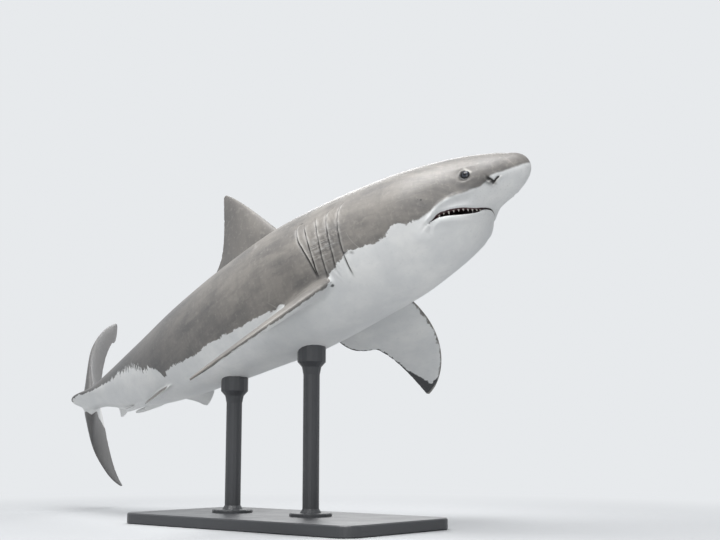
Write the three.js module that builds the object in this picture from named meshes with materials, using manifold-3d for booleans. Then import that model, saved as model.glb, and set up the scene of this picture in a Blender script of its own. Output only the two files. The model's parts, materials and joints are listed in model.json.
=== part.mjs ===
// A great white shark, an adult male 4.3 m long, as a still life-size museum model on a stand.
//
// The animal is modelled in its own frame and set on the stand by one group. Its frame has +X to
// the snout, +Y to its left side and +Z to its back, with the origin on the spine at SPINE_ORIGIN.
// Every place on it is (u, y, z): u is the share of the total length behind the snout, and y and z
// are offsets across the spine, as shares of the total length too. The bent spine turns these into
// millimetres. The model's origin is the middle of the stand's underside.

import * as THREE from 'three';
import { mergeVertices } from 'three/addons/utils/BufferGeometryUtils.js';
import Module from 'manifold-3d';

const wasm = await Module();
wasm.setup();

// ---- driving dimensions ---------------------------------------------------------------------

const TOTAL_LENGTH = 4300;            // snout to the tip of the upper tail lobe, along the spine
const GAP = 0.35;                     // clearance between neighbouring pieces, mm
const SLIT = GAP / TOTAL_LENGTH;      // the same clearance as a share of the length
const COLUMNS = 30;                   // facets round the body

// How the swimming body bends: an angle in degrees, eased in between two stations.
const SPINE_ORIGIN = 0.35;
const SIDE_BENDS = [[-2.4, 0.00, 0.30], [-8.0, 0.35, 0.65], [-3.4, 0.62, 0.86], [-56, 0.83, 0.915]];
const RISE_BENDS = [[-9.6, 0.45, 0.85], [3.5, 0.80, 0.95]];
const TWIST_BENDS = [[-6, 0.50, 0.92]];

// The attitude on the stand, in degrees, and where the spine's origin is held, in mm.
const PITCH = 19.2;
const ROLL = -4.4;
const YAW = 4;
const HELD_AT = [120, 35, 1330];

// Body sections: station u, height over the spine, depth under it, half width.
const SECTIONS = [
  [0.000, 0.0231, 0.0188, 0.0154],
  [0.018, 0.0236, 0.0208, 0.0226],
  [0.035, 0.0295, 0.0229, 0.0316],
  [0.050, 0.0356, 0.0263, 0.0362],
  [0.060, 0.0394, 0.0290, 0.0388],
  [0.072, 0.0436, 0.0388, 0.0430],
  [0.100, 0.0508, 0.0642, 0.0557],
  [0.150, 0.0615, 0.0783, 0.0677],
  [0.200, 0.0698, 0.0864, 0.0717],
  [0.260, 0.0770, 0.0892, 0.0746],
  [0.340, 0.0822, 0.0911, 0.0757],
  [0.450, 0.0754, 0.0820, 0.0681],
  [0.550, 0.0656, 0.0695, 0.0592],
  [0.650, 0.0503, 0.0555, 0.0468],
  [0.750, 0.0318, 0.0357, 0.0313],
  [0.820, 0.0190, 0.0190, 0.0210],
  [0.870, 0.0151, 0.0151, 0.0137],
  [0.910, 0.0080, 0.0080, 0.0050],
];
const NOSE_ROUND = 0.0325;            // length of the rounded tip of the snout
const NOSE_BLUNT = 2.2;               // 2 rounds it like a ball, more makes it blunter
const KEEL = { at: 0.850, reach: 0.042, width: 0.0165 };

// Where the body is parted into its nodes.
const HEAD_END = 0.200;
const GILLS_END = 0.300;
const TRUNK_MIDDLE = 0.480;
const TRUNK_END = 0.680;
const STALK_END = 0.862;
const BODY_END = 0.910;

// The mouth: a slightly open cleft that runs back from under the snout to a corner on each cheek.
// Rows of it are station, height of its middle and half its opening.
const MOUTH = [
  [0.060, -0.0298, 0.0006],
  [0.066, -0.0321, 0.0010],
  [0.072, -0.0339, 0.0026],
  [0.085, -0.0334, 0.0036],
  [0.098, -0.0325, 0.0028],
  [0.106, -0.0320, 0.0018],
  [0.112, -0.0336, 0.0006],
  [0.119, -0.0362, 0.0001],
];
const MOUTH_FRONT = MOUTH[0][0];
const MOUTH_CORNER = MOUTH.at(-1)[0];
const JAW_END = 0.150;
const TEETH = { perSide: 8, from: 0.06, to: 0.86, width: 0.0062, thick: 0.0020, inset: 0.0024 };
const UPPER_TEETH = { height: 0.0046, mostOfGap: 0.56, size: 1 };
const LOWER_TEETH = { height: 0.0034, mostOfGap: 0.40, size: 0.8 };

const EYE = { u: 0.0650, angle: 84.8, radius: 0.0078, depth: 0.0062 };

// Gill slits: station and angle at the top, then at the bottom, and the bow between them.
const GILLS = [
  { top: [0.221, 54], bottom: [0.231, 131], bow: 0.0035 },
  { top: [0.241, 58], bottom: [0.249, 123], bow: -0.0015 },
  { top: [0.261, 60], bottom: [0.264, 126], bow: -0.0030 },
  { top: [0.278, 64], bottom: [0.273, 112], bow: -0.0045 },
  { top: [0.292, 60], bottom: [0.2755, 119], bow: -0.0010 },
];
const GILL = { depth: 0.0075, width: 0.0026, steps: 4 };

// Middle fins, as curves of (u, z) from the root to the tip. Each edge is a chain of Bezier curves,
// and `joints` are the shares of the span where one curve hands over to the next.
const DORSAL_FIN = {
  lead: { joints: [0, 1], curves: [[[0.338, 0.050], [0.375, 0.092], [0.418, 0.162], [0.4495, 0.1868]]] },
  trail: {
    joints: [0, 0.14, 1],
    curves: [
      [[0.452, 0.050], [0.476, 0.076], [0.5045, 0.0825]],
      [[0.5045, 0.0825], [0.470, 0.098], [0.4655, 0.150], [0.4550, 0.1855]],
    ],
  },
  rootHalf: 0.0098, tipHalf: 0.0012, rows: 9,
};
const SECOND_DORSAL_FIN = {
  lead: { joints: [0, 1], curves: [[[0.738, 0.018], [0.748, 0.035], [0.7615, 0.0385]]] },
  trail: {
    joints: [0, 0.35, 1],
    curves: [
      [[0.760, 0.018], [0.768, 0.0285], [0.7790, 0.0305]],
      [[0.7790, 0.0305], [0.7670, 0.0325], [0.7650, 0.0380]],
    ],
  },
  rootHalf: 0.0028, tipHalf: 0.0006, rows: 4,
};
const ANAL_FIN = {
  lead: { joints: [0, 1], curves: [[[0.728, -0.024], [0.738, -0.0450], [0.7560, -0.0485]]] },
  trail: {
    joints: [0, 0.35, 1],
    curves: [
      [[0.750, -0.020], [0.764, -0.0300], [0.7700, -0.0315]],
      [[0.7700, -0.0315], [0.7620, -0.0360], [0.7605, -0.0470]],
    ],
  },
  rootHalf: 0.0028, tipHalf: 0.0006, rows: 4,
};
const UPPER_LOBE = {
  lead: { joints: [0, 1], curves: [[[0.852, 0], [0.890, 0.072], [0.910, 0.124], [1.0080, 0.1600]]] },
  trail: {
    joints: [0, 0.76, 1],
    curves: [
      [[0.9240, 0], [0.9310, 0.050], [0.9500, 0.090], [0.9880, 0.1210]],
      [[0.9880, 0.1210], [1.0040, 0.1190], [1.0130, 0.1560]],
    ],
  },
  rootHalf: 0.0125, tipHalf: 0.0012, rows: 11,
};
const LOWER_LOBE = {
  lead: { joints: [0, 1], curves: [[[0.852, 0], [0.872, -0.066], [0.910, -0.115], [0.9740, -0.1265]]] },
  trail: {
    joints: [0, 1],
    curves: [[[0.9240, 0], [0.9380, -0.045], [0.9410, -0.098], [0.9790, -0.1250]]],
  },
  rootHalf: 0.0125, tipHalf: 0.0012, rows: 9,
};

// Paired fins, as curves of (back, out) from a point near the front of the root. Each fin's pose
// gives that point as a station and an angle on the skin, then degrees: sweep turns the fin back,
// droop lowers its tip and pitch lowers its rear edge.
const PECTORAL_FIN = {
  lead: {
    joints: [0, 1],
    curves: [[[-0.014, -0.030], [-0.004, 0.107], [0.092, 0.1735], [0.1260, 0.1735]]],
  },
  trail: {
    joints: [0, 0.24, 0.40, 1],
    curves: [
      [[0.098, -0.030], [0.112, 0.000], [0.1085, 0.0200]],
      [[0.1085, 0.0200], [0.104, 0.034], [0.0925, 0.0425]],
      [[0.0925, 0.0425], [0.0900, 0.075], [0.112, 0.128], [0.1285, 0.1700]],
    ],
  },
  rootHalf: 0.0085, tipHalf: 0.0012, rows: 12,
};
const PECTORAL_RIGHT = { at: [0.270, 123], sweep: -9, droop: 31, pitch: 5.8 };
const PECTORAL_LEFT = { at: [0.257, 120], sweep: -9.5, droop: 18.3, pitch: 11.7 };
const PELVIC_FIN = {
  lead: { joints: [0, 1], curves: [[[-0.014, -0.018], [0.000, 0.013], [0.0285, 0.0318]]] },
  trail: {
    joints: [0, 0.3, 1],
    curves: [
      [[0.062, -0.018], [0.074, -0.006], [0.0745, 0.0010]],
      [[0.0745, 0.0010], [0.043, 0.009], [0.0340, 0.0298]],
    ],
  },
  rootHalf: 0.0042, tipHalf: 0.0009, rows: 6,
};
const PELVIC_RIGHT = { at: [0.588, 142], sweep: 4, droop: 36, pitch: 4 };
const PELVIC_LEFT = { at: [0.583, 142], sweep: 18, droop: 28, pitch: 4 };

// Claspers: a rod under the belly behind each pelvic fin.
const CLASPER = {
  from: [0.612, 0.0095, -0.0500],
  to: [0.734, 0.0100, -0.0450],
  sag: 0.001,
  radius: 0.0042,
};

// The stand: a flat base and two short rods with a foot flange and a flared saddle.
const BASE = { length: 1720, width: 860, height: 60, corner: 90, chamfer: 6 };
const ROD = { radius: 45, flange: 115, flangeHeight: 18, flare: 78, flareHeight: 70, facets: 16 };
const ROD_STATIONS = [0.360, 0.500];
const ROD_NAMES = ['stand_rod_front', 'stand_rod_rear'];

// ---- materials ------------------------------------------------------------------------------

function finish(color, roughness, metalness = 0) {
  return new THREE.MeshStandardMaterial({ color, roughness, metalness });
}
const MATERIALS = {
  back: finish(0x6d6a66, 0.45),
  belly: finish(0xe6e6e2, 0.45),
  fin: finish(0x6a6866, 0.5),
  eye: finish(0x0b0b0d, 0.08),
  stand: finish(0x2b2c2e, 0.4, 0.6),
};

// ---- curves and sections --------------------------------------------------------------------

const rad = THREE.MathUtils.degToRad;
const clamp = THREE.MathUtils.clamp;
const lerp = THREE.MathUtils.lerp;

function ease(t) {
  const x = clamp(t, 0, 1);
  return x * x * (3 - 2 * x);
}

// A smooth curve through rows of [x, y0, y1 ...] that never overshoots between them: cubic pieces
// whose slope at each row is the harmonic mean of the slopes on its two sides.
function smoothTable(rows, column) {
  const last = rows.length - 1;
  const step = (i) => (rows[i + 1][column] - rows[i][column]) / (rows[i + 1][0] - rows[i][0]);
  const slope = (i) => {
    if (i === 0) return step(0);
    if (i === last) return step(last - 1);
    const before = step(i - 1);
    const after = step(i);
    return before * after > 0 ? 2 * before * after / (before + after) : 0;
  };
  const slopes = rows.map((_, i) => slope(i));
  return (x) => {
    let i = 0;
    while (i < last - 1 && x > rows[i + 1][0]) i += 1;
    const width = rows[i + 1][0] - rows[i][0];
    const t = clamp((x - rows[i][0]) / width, 0, 1);
    const blend = t * t * (3 - 2 * t);
    return rows[i][column] * (1 - blend) + rows[i + 1][column] * blend
      + width * (slopes[i] * t * (1 - t) * (1 - t) - slopes[i + 1] * t * t * (1 - t));
  };
}

const heightOver = smoothTable(SECTIONS, 1);
const depthUnder = smoothTable(SECTIONS, 2);
const halfWidth = smoothTable(SECTIONS, 3);

// A point of the body's surface across the spine, [y, z], at station u. The angle goes from the
// back (0) down the right side (90) to the belly (180). `grow` moves it outwards.
function skinAt(u, angle, grow = 0) {
  const c = Math.cos(rad(angle));
  const s = Math.sin(rad(angle));
  const t = clamp(u / NOSE_ROUND, 0, 1);
  const round = (1 - (1 - t) ** NOSE_BLUNT) ** (1 / NOSE_BLUNT);
  const keel = KEEL.width * Math.exp(-(((u - KEEL.at) / KEEL.reach) ** 2)) * Math.abs(s) ** 12;
  const tall = (c >= 0 ? heightOver(u) : depthUnder(u)) * round + grow;
  const wide = halfWidth(u) * round + keel + grow;
  return [-wide * s, tall * c];
}

// ---- the spine ------------------------------------------------------------------------------

// Two directions square to each other, turned together so that the first leans towards the second.
function turned(first, second, angle) {
  const c = Math.cos(angle);
  const s = Math.sin(angle);
  return [
    first.clone().multiplyScalar(c).addScaledVector(second, s),
    second.clone().multiplyScalar(c).addScaledVector(first, -s),
  ];
}

function bendAt(bends, u) {
  const eased = (x, [angle, from, to]) => angle * ease((x - from) / (to - from));
  return bends.reduce((sum, bend) => sum + eased(u, bend) - eased(SPINE_ORIGIN, bend), 0);
}

function spineFrame(u) {
  const side = rad(bendAt(SIDE_BENDS, u));
  const rise = rad(bendAt(RISE_BENDS, u));
  const twist = rad(bendAt(TWIST_BENDS, u));
  const level = new THREE.Vector3(-Math.sin(side), Math.cos(side), 0);
  const forward = new THREE.Vector3(Math.cos(side), Math.sin(side), 0);
  const [ahead, upright] = turned(forward, new THREE.Vector3(0, 0, 1), rise);
  const [left, up] = turned(level, upright, twist);
  return { ahead, left, up };
}

// The spine's points, summed in short steps from the snout, then moved so that the origin fits.
const SPINE_STEPS = 420;
const SPINE_REACH = 1.05;
const spinePoints = [new THREE.Vector3()];
for (let i = 1; i <= SPINE_STEPS; i += 1) {
  const step = SPINE_REACH / SPINE_STEPS;
  const { ahead } = spineFrame((i - 0.5) * step);
  spinePoints.push(spinePoints[i - 1].clone().addScaledVector(ahead, -step));
}
const spineAt = (u) => {
  const x = clamp(u / SPINE_REACH, 0, 1) * SPINE_STEPS;
  const i = Math.min(Math.floor(x), SPINE_STEPS - 1);
  return spinePoints[i].clone().lerp(spinePoints[i + 1], x - i);
};
const spineOrigin = spineAt(SPINE_ORIGIN);

// The point (u, y, z) in the animal's frame, in mm.
function place(u, y, z) {
  const { left, up } = spineFrame(u);
  const point = spineAt(u).sub(spineOrigin).addScaledVector(left, y).addScaledVector(up, z);
  return point.multiplyScalar(TOTAL_LENGTH);
}

// ---- meshes and solids ----------------------------------------------------------------------

// A closed mesh over rings of points, with a fan at each end round the point given there.
function loft(rings, firstPoint, lastPoint) {
  const count = rings[0].length;
  const points = rings.flat();
  const first = points.push(firstPoint) - 1;
  const last = points.push(lastPoint) - 1;
  const faces = [];
  for (let j = 0; j < count; j += 1) {
    const k = (j + 1) % count;
    const end = (rings.length - 1) * count;
    faces.push(first, k, j, last, end + j, end + k);
    for (let i = 0; i < rings.length - 1; i += 1) {
      const a = i * count;
      const b = a + count;
      faces.push(a + j, a + k, b + k, a + j, b + k, b + j);
    }
  }
  return outward(points, faces);
}

// A geometry of points and triangles, with its faces turned outwards.
function outward(points, faces) {
  let volume = 0;
  for (let i = 0; i < faces.length; i += 3) {
    const [a, b, c] = [points[faces[i]], points[faces[i + 1]], points[faces[i + 2]]];
    volume += a.dot(new THREE.Vector3().crossVectors(b, c));
  }
  if (volume < 0) faces.reverse();
  const geometry = new THREE.BufferGeometry();
  const values = points.flatMap((p) => p.toArray());
  geometry.setAttribute('position', new THREE.Float32BufferAttribute(values, 3));
  geometry.setIndex(faces);
  return geometry;
}

function centre(points) {
  const sum = points.reduce((total, point) => total.add(point), new THREE.Vector3());
  return sum.divideScalar(points.length);
}

function solid(geometry) {
  const bare = geometry.clone();
  bare.deleteAttribute('normal');
  bare.deleteAttribute('uv');
  const merged = mergeVertices(bare, 1e-3);
  const vertProperties = new Float32Array(merged.attributes.position.array);
  const triVerts = new Uint32Array(merged.index.array);
  return new wasm.Manifold(new wasm.Mesh({ numProp: 3, vertProperties, triVerts }));
}

function geometryOf(manifold) {
  const mesh = manifold.getMesh();
  const geometry = new THREE.BufferGeometry();
  const values = new Float32Array(mesh.vertProperties);
  geometry.setAttribute('position', new THREE.BufferAttribute(values, 3));
  geometry.setIndex(new THREE.BufferAttribute(new Uint32Array(mesh.triVerts), 1));
  return geometry;
}

// A block in the spine's own bent space: rows of [u, y from, y to, z from, z to].
function bentBlock(rows) {
  const rings = rows.map(([u, right, left, low, high]) => [
    place(u, right, low), place(u, left, low), place(u, left, high), place(u, right, high),
  ]);
  return solid(loft(rings, centre(rings[0]), centre(rings.at(-1))));
}

// ---- the body -------------------------------------------------------------------------------

// Stations of the body's rings: close together on the head and at the tail's keels.
function stationsBetween(from, to) {
  const spacing = (u) => {
    if (u < 0.02) return 0.006;
    if (u < 0.19) return 0.0145;
    if (u < 0.66) return 0.028;
    return 0.0175;
  };
  const stations = [];
  for (let u = 0.003; u < BODY_END; u += spacing(u)) stations.push(u);
  const inside = stations.filter((u) => u > from + 0.003 && u < to - 0.003);
  return [from, ...inside, to];
}

function bodyLength(from, to, grow = 0) {
  const start = Math.max(from, 0.0006);
  const rings = stationsBetween(start, to).map((u) => {
    const ring = [];
    for (let j = 0; j < COLUMNS; j += 1) ring.push(place(u, ...skinAt(u, j * 360 / COLUMNS, grow)));
    return ring;
  });
  const tip = from <= 0 ? place(-grow, 0, 0) : centre(rings[0]);
  return solid(loft(rings, tip, centre(rings.at(-1))));
}

const grownBody = bodyLength(0, BODY_END, SLIT * 1.2);

// ---- the mouth ------------------------------------------------------------------------------

// Height of the middle of the cleft and half its opening, at station u.
const mouthLevel = smoothTable(MOUTH, 1);
const mouthOpen = smoothTable(MOUTH, 2);

// The block under the snout that holds the lower jaw. `edge` is -1 for the upper lip, +1 for the
// lower one, and `grow` widens the block.
function jawBlock(edge, grow) {
  const from = MOUTH_FRONT - 0.006 - grow;
  const to = JAW_END + grow;
  const rows = [];
  const steps = 13;
  for (let i = 0; i <= steps; i += 1) {
    const u = lerp(from, to, i / steps);
    rows.push([u, -0.12, 0.12, -0.16, mouthLevel(u) - edge * mouthOpen(u)]);
  }
  return bentBlock(rows);
}

// The tooth row follows the lip from cheek to cheek, a little inside the skin: the place where
// the cleft's level cuts the body at each station.
function lipWidth(u, level) {
  const drop = clamp(-level / depthUnder(u), 0, 1);
  return halfWidth(u) * Math.sqrt(1 - drop * drop);
}

// The station where a lip at that level meets the middle of the chin.
function lipFront(levelAt) {
  let u = MOUTH_FRONT - 0.01;
  while (depthUnder(u) < 0.0012 - levelAt(u)) u += 0.0005;
  return u;
}

// One tooth: a flat triangular blade standing on the lip, root sunk in the jaw. It stays within
// its share of the cleft, so that the two rows pass each other by.
function tooth(u, side, upward, size, height) {
  const level = mouthLevel(u) + (upward ? -1 : 1) * mouthOpen(u);
  const y = side * Math.max(lipWidth(u, level) - TEETH.inset, 0);
  const beside = lipWidth(u + 0.002, level) - lipWidth(u - 0.002, level);
  const along = new THREE.Vector2(0.004, Math.max(beside, 0)).normalize();
  const direction = upward ? 1 : -1;
  const corner = (t, out, rise) => place(
    u + 0.5 * size * (TEETH.width * t * along.x - TEETH.thick * out * along.y),
    y + 0.5 * side * size * (TEETH.width * t * along.y + TEETH.thick * out * along.x),
    level + direction * rise,
  );
  const root = -0.0035;
  const points = [
    corner(-1, -1, root), corner(1, -1, root), corner(1, 1, root), corner(-1, 1, root),
    corner(0.1, -0.3, height),
  ];
  return solid(outward(points, [0, 1, 2, 0, 2, 3, 1, 0, 4, 2, 1, 4, 3, 2, 4, 0, 3, 4]));
}

// Teeth on both sides of one jaw, largest near the front.
function toothRow(jaw, upward, { height, mostOfGap, size }) {
  let result = jaw;
  const front = lipFront((u) => mouthLevel(u) + (upward ? -1 : 1) * mouthOpen(u));
  for (let i = 0; i < TEETH.perSide; i += 1) {
    const share = lerp(TEETH.from, TEETH.to, i / (TEETH.perSide - 1));
    const u = lerp(front, MOUTH_CORNER, share ** 1.7);
    const tall = Math.min(height, 2 * mouthOpen(u) * mostOfGap);
    const scale = size * (1 - 0.45 * share);
    result = result.add(tooth(u, 1, upward, scale, tall)).add(tooth(u, -1, upward, scale, tall));
  }
  return result;
}

// ---- gill slits and eyes --------------------------------------------------------------------

// A groove that follows the slit's curve down one side of the neck.
function gillGroove({ top, bottom, bow }, side) {
  const rings = [];
  for (let i = 0; i <= GILL.steps; i += 1) {
    const t = i / GILL.steps;
    const u = lerp(top[0], bottom[0], t) + bow * 4 * t * (1 - t);
    const angle = lerp(top[1], bottom[1], t);
    const half = GILL.width * (0.25 + 0.75 * Math.sin(Math.PI * t));
    const edge = (along, grow) => {
      const [y, z] = skinAt(u + along, angle, grow);
      return place(u + along, y * side, z);
    };
    const floor = -GILL.depth * (0.35 + 0.65 * Math.sin(Math.PI * t));
    rings.push([
      edge(-half, 0.006), edge(half, 0.006),
      edge(half * 0.3 + 0.0012, floor), edge(-half * 0.3, floor),
    ]);
  }
  return solid(loft(rings, centre(rings[0]), centre(rings.at(-1))));
}

function eyeCentre(side) {
  const [y, z] = skinAt(EYE.u, EYE.angle);
  const inward = (Math.abs(y) - EYE.depth) / Math.abs(y);
  return place(EYE.u, y * inward * side, z * inward);
}

function eyeball(side, radius) {
  const ball = new THREE.SphereGeometry(radius * TOTAL_LENGTH, 12, 7);
  const { x, y, z } = eyeCentre(side);
  return ball.translate(x, y, z);
}

// ---- fins -----------------------------------------------------------------------------------

function bezier(points, t) {
  if (points.length === 1) return points[0];
  const between = (a, b) => b.map((value, axis) => lerp(a[axis], value, t));
  return bezier(points.slice(1).map((p, i) => between(points[i], p)), t);
}

function edgeAt({ joints, curves }, v) {
  let i = 0;
  while (i < curves.length - 1 && v > joints[i + 1]) i += 1;
  return bezier(curves[i], (v - joints[i]) / (joints[i + 1] - joints[i]));
}

// Half thickness of a fin section at share c of its chord, for a greatest half thickness of 1:
// round in front, thickest at a third and fine behind.
function foil(c) {
  return 10 * (0.2969 * Math.sqrt(c) - 0.126 * c - 0.3516 * c ** 2 + 0.2843 * c ** 3 - 0.1036 * c ** 4);
}

const FOIL_HALF_STEPS = 6;
const EDGE_HALF = 0.0004;             // half thickness left at a fin's rear edge

// A fin from root to tip. `map` takes (chordwise, spanwise, thickness) to a point in mm.
function fin({ lead, trail, rootHalf, tipHalf, rows }, map, bulge = 1) {
  const rings = [];
  for (let i = 0; i <= rows; i += 1) {
    const v = 1 - (1 - i / rows) ** 1.25;
    const front = edgeAt(lead, v);
    const rear = edgeAt(trail, v);
    const half = lerp(rootHalf, tipHalf, 1 - (1 - v) ** bulge);
    const ring = [];
    for (let j = 0; j < 2 * FOIL_HALF_STEPS; j += 1) {
      const turn = Math.PI * j / FOIL_HALF_STEPS;
      const c = (1 - Math.cos(turn)) / 2;
      const side = Math.sign(Math.round(Math.sin(turn) * 1e6));
      const thick = side * Math.max(half * foil(c), EDGE_HALF);
      ring.push(map(lerp(front[0], rear[0], c), lerp(front[1], rear[1], c), thick));
    }
    rings.push(ring);
  }
  return solid(loft(rings, centre(rings[0]), centre(rings.at(-1))));
}

// Middle fins lie in the bent plane of the spine.
const middleMap = (back, out, thick) => place(back, thick, out);

// Paired fins stand in a plane of their own, hinged at the front of the root.
function pairedMap({ at, sweep, droop, pitch }, side) {
  const [y, z] = skinAt(at[0], at[1]);
  const root = place(at[0], y * side, z);
  const { ahead, left, up } = spineFrame(at[0]);
  const out = left.clone().multiplyScalar(-side);
  const [lowered, over] = turned(out, up, -rad(droop));
  const [chord, normal] = turned(ahead.clone().negate(), over, -rad(pitch));
  const [tip, rear] = turned(lowered, chord, rad(sweep));
  return (back, reach, thick) => root.clone()
    .addScaledVector(rear, back * TOTAL_LENGTH)
    .addScaledVector(tip, reach * TOTAL_LENGTH)
    .addScaledVector(normal, thick * TOTAL_LENGTH);
}

// ---- claspers -------------------------------------------------------------------------------

function clasper(side) {
  const rings = [];
  const rows = 6;
  const facets = 8;
  for (let i = 0; i <= rows; i += 1) {
    const t = i / rows;
    const u = lerp(CLASPER.from[0], CLASPER.to[0], t);
    const y = -side * lerp(CLASPER.from[1], CLASPER.to[1], t);
    const z = lerp(CLASPER.from[2], CLASPER.to[2], t) - CLASPER.sag * 4 * t * (1 - t);
    const tipRound = Math.sqrt(1 - Math.max(0, (t - 0.85) / 0.17) ** 2);
    const radius = CLASPER.radius * (1 - 0.25 * t) * tipRound;
    const ring = [];
    for (let j = 0; j < facets; j += 1) {
      const turn = 2 * Math.PI * j / facets;
      ring.push(place(u, y + radius * Math.cos(turn), z + radius * Math.sin(turn)));
    }
    rings.push(ring);
  }
  return solid(loft(rings, centre(rings[0]), centre(rings.at(-1))));
}

// ---- the stand ------------------------------------------------------------------------------

function basePlate() {
  const { length, width, height, corner, chamfer } = BASE;
  const x = length / 2 - chamfer;
  const y = width / 2 - chamfer;
  const shape = new THREE.Shape();
  shape.moveTo(-x + corner, -y);
  shape.lineTo(x - corner, -y);
  shape.absarc(x - corner, -y + corner, corner, -Math.PI / 2, 0);
  shape.lineTo(x, y - corner);
  shape.absarc(x - corner, y - corner, corner, 0, Math.PI / 2);
  shape.lineTo(-x + corner, y);
  shape.absarc(-x + corner, y - corner, corner, Math.PI / 2, Math.PI);
  shape.lineTo(-x, -y + corner);
  shape.absarc(-x + corner, -y + corner, corner, Math.PI, 1.5 * Math.PI);
  const bevel = { bevelThickness: chamfer, bevelSize: chamfer, bevelSegments: 1 };
  const depth = height - 2 * chamfer;
  const plate = new THREE.ExtrudeGeometry(shape, { depth, curveSegments: 4, ...bevel });
  return solid(plate.translate(0, 0, chamfer));
}

// A rod turned on its own axis, from the base up to the belly, which trims its saddle.
function rod(belly, animalInPlace) {
  const top = belly.z + 90;
  const bottom = BASE.height + GAP;
  const saddle = belly.z - 60;
  const profile = [
    [0, bottom], [ROD.flange, bottom], [ROD.flange, bottom + ROD.flangeHeight * 0.7],
    [ROD.flange - 6, bottom + ROD.flangeHeight], [ROD.radius + 14, bottom + ROD.flangeHeight],
    [ROD.radius, bottom + ROD.flangeHeight + 22], [ROD.radius, saddle - ROD.flareHeight],
    [ROD.radius + 8, saddle - ROD.flareHeight * 0.4], [ROD.flare, saddle], [ROD.flare, top], [0, top],
  ].map(([radius, z]) => new THREE.Vector2(radius, z));
  const lathe = new THREE.LatheGeometry(profile, ROD.facets).rotateX(Math.PI / 2);
  return solid(lathe.translate(belly.x, belly.y, 0)).subtract(animalInPlace);
}

// ---- assembly -------------------------------------------------------------------------------

const part = new THREE.Group();
const animal = new THREE.Group();
animal.rotation.set(rad(ROLL), rad(-PITCH), rad(YAW), 'ZYX');
animal.position.set(...HELD_AT);
animal.updateMatrixWorld();
part.add(animal);

function addNode(group, name, shape, material) {
  const mesh = new THREE.Mesh(shape.isBufferGeometry ? shape : geometryOf(shape), material);
  mesh.name = name;
  group.add(mesh);
}

// The head, with the block of the lower jaw taken out, sockets for the eyes and the upper teeth.
let head = bodyLength(0, HEAD_END - SLIT / 2).subtract(jawBlock(-1, SLIT));
for (const side of [1, -1]) head = head.subtract(solid(eyeball(side, EYE.radius + 2 * SLIT)));
addNode(animal, 'head', toothRow(head, false, UPPER_TEETH), MATERIALS.back);

const jaw = bodyLength(0, HEAD_END - SLIT / 2).intersect(jawBlock(1, 0));
addNode(animal, 'lower_jaw', toothRow(jaw, true, LOWER_TEETH), MATERIALS.belly);

addNode(animal, 'eye_right', eyeball(1, EYE.radius), MATERIALS.eye);
addNode(animal, 'eye_left', eyeball(-1, EYE.radius), MATERIALS.eye);

let gillRegion = bodyLength(HEAD_END + SLIT / 2, GILLS_END - SLIT / 2);
for (const gill of GILLS) {
  gillRegion = gillRegion.subtract(gillGroove(gill, 1)).subtract(gillGroove(gill, -1));
}
addNode(animal, 'gill_region', gillRegion, MATERIALS.back);
const LENGTHS = {
  trunk_front: [GILLS_END, TRUNK_MIDDLE],
  trunk_rear: [TRUNK_MIDDLE, TRUNK_END],
  tail_stalk: [TRUNK_END, STALK_END],
};
for (const [name, [from, to]] of Object.entries(LENGTHS)) {
  addNode(animal, name, bodyLength(from + SLIT / 2, to - SLIT / 2), MATERIALS.back);
}

// The tail fin grows round the end of the body and is parted along the spine into its two lobes.
const tailFin = bodyLength(STALK_END + SLIT / 2, BODY_END)
  .add(fin(UPPER_LOBE, middleMap, 3))
  .add(fin(LOWER_LOBE, middleMap, 3))
  .subtract(bodyLength(TRUNK_END, STALK_END + SLIT / 2, SLIT));
const lobeRows = [0.84, 0.865, 0.89, 0.915, 0.94, 0.97, 1.04];
const upperHalf = bentBlock(lobeRows.map((u) => [u, -0.06, 0.06, SLIT / 2, 0.2]));
const lowerHalf = bentBlock(lobeRows.map((u) => [u, -0.06, 0.06, -0.2, -SLIT / 2]));
addNode(animal, 'tail_fin_upper_lobe', tailFin.intersect(upperHalf), MATERIALS.fin);
addNode(animal, 'tail_fin_lower_lobe', tailFin.intersect(lowerHalf), MATERIALS.fin);

const addMiddleFin = (name, shape, material) => {
  addNode(animal, name, fin(shape, middleMap).subtract(grownBody), material);
};
addMiddleFin('dorsal_fin', DORSAL_FIN, MATERIALS.fin);
addMiddleFin('second_dorsal_fin', SECOND_DORSAL_FIN, MATERIALS.fin);
addMiddleFin('anal_fin', ANAL_FIN, MATERIALS.belly);

const SIDES = [
  { name: 'right', side: 1, pectoralPose: PECTORAL_RIGHT, pelvicPose: PELVIC_RIGHT },
  { name: 'left', side: -1, pectoralPose: PECTORAL_LEFT, pelvicPose: PELVIC_LEFT },
];
for (const { name, side, pectoralPose, pelvicPose } of SIDES) {
  const pectoral = fin(PECTORAL_FIN, pairedMap(pectoralPose, side));
  const pelvic = fin(PELVIC_FIN, pairedMap(pelvicPose, side));
  addNode(animal, `pectoral_fin_${name}`, pectoral.subtract(grownBody), MATERIALS.fin);
  addNode(animal, `pelvic_fin_${name}`, pelvic.subtract(grownBody), MATERIALS.belly);
  const free = clasper(side).subtract(grownBody).subtract(pelvic);
  addNode(animal, `clasper_${name}`, free, MATERIALS.belly);
}

// The stand, with its rods trimmed to the belly where they meet it.
addNode(part, 'stand_base', basePlate(), MATERIALS.stand);
const animalInPlace = grownBody.transform(Array.from(animal.matrixWorld.elements));
ROD_STATIONS.forEach((u, i) => {
  const belly = place(u, ...skinAt(u, 180)).applyMatrix4(animal.matrixWorld);
  addNode(part, ROD_NAMES[i], rod(belly, animalInPlace), MATERIALS.stand);
});

export default part;
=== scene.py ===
# %% [markdown]
# # A great white shark as a life-size display model
#
# This lesson makes an adult male great white shark, 4.3 m long, as a museum makes it: one skin
# over the whole animal, glass eyes, set teeth, and a painted steel stand. The plain solids of
# the part are already there. They say where everything is and how large it may be. Here each
# of them gets the surface and the finish of the real thing.

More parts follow.
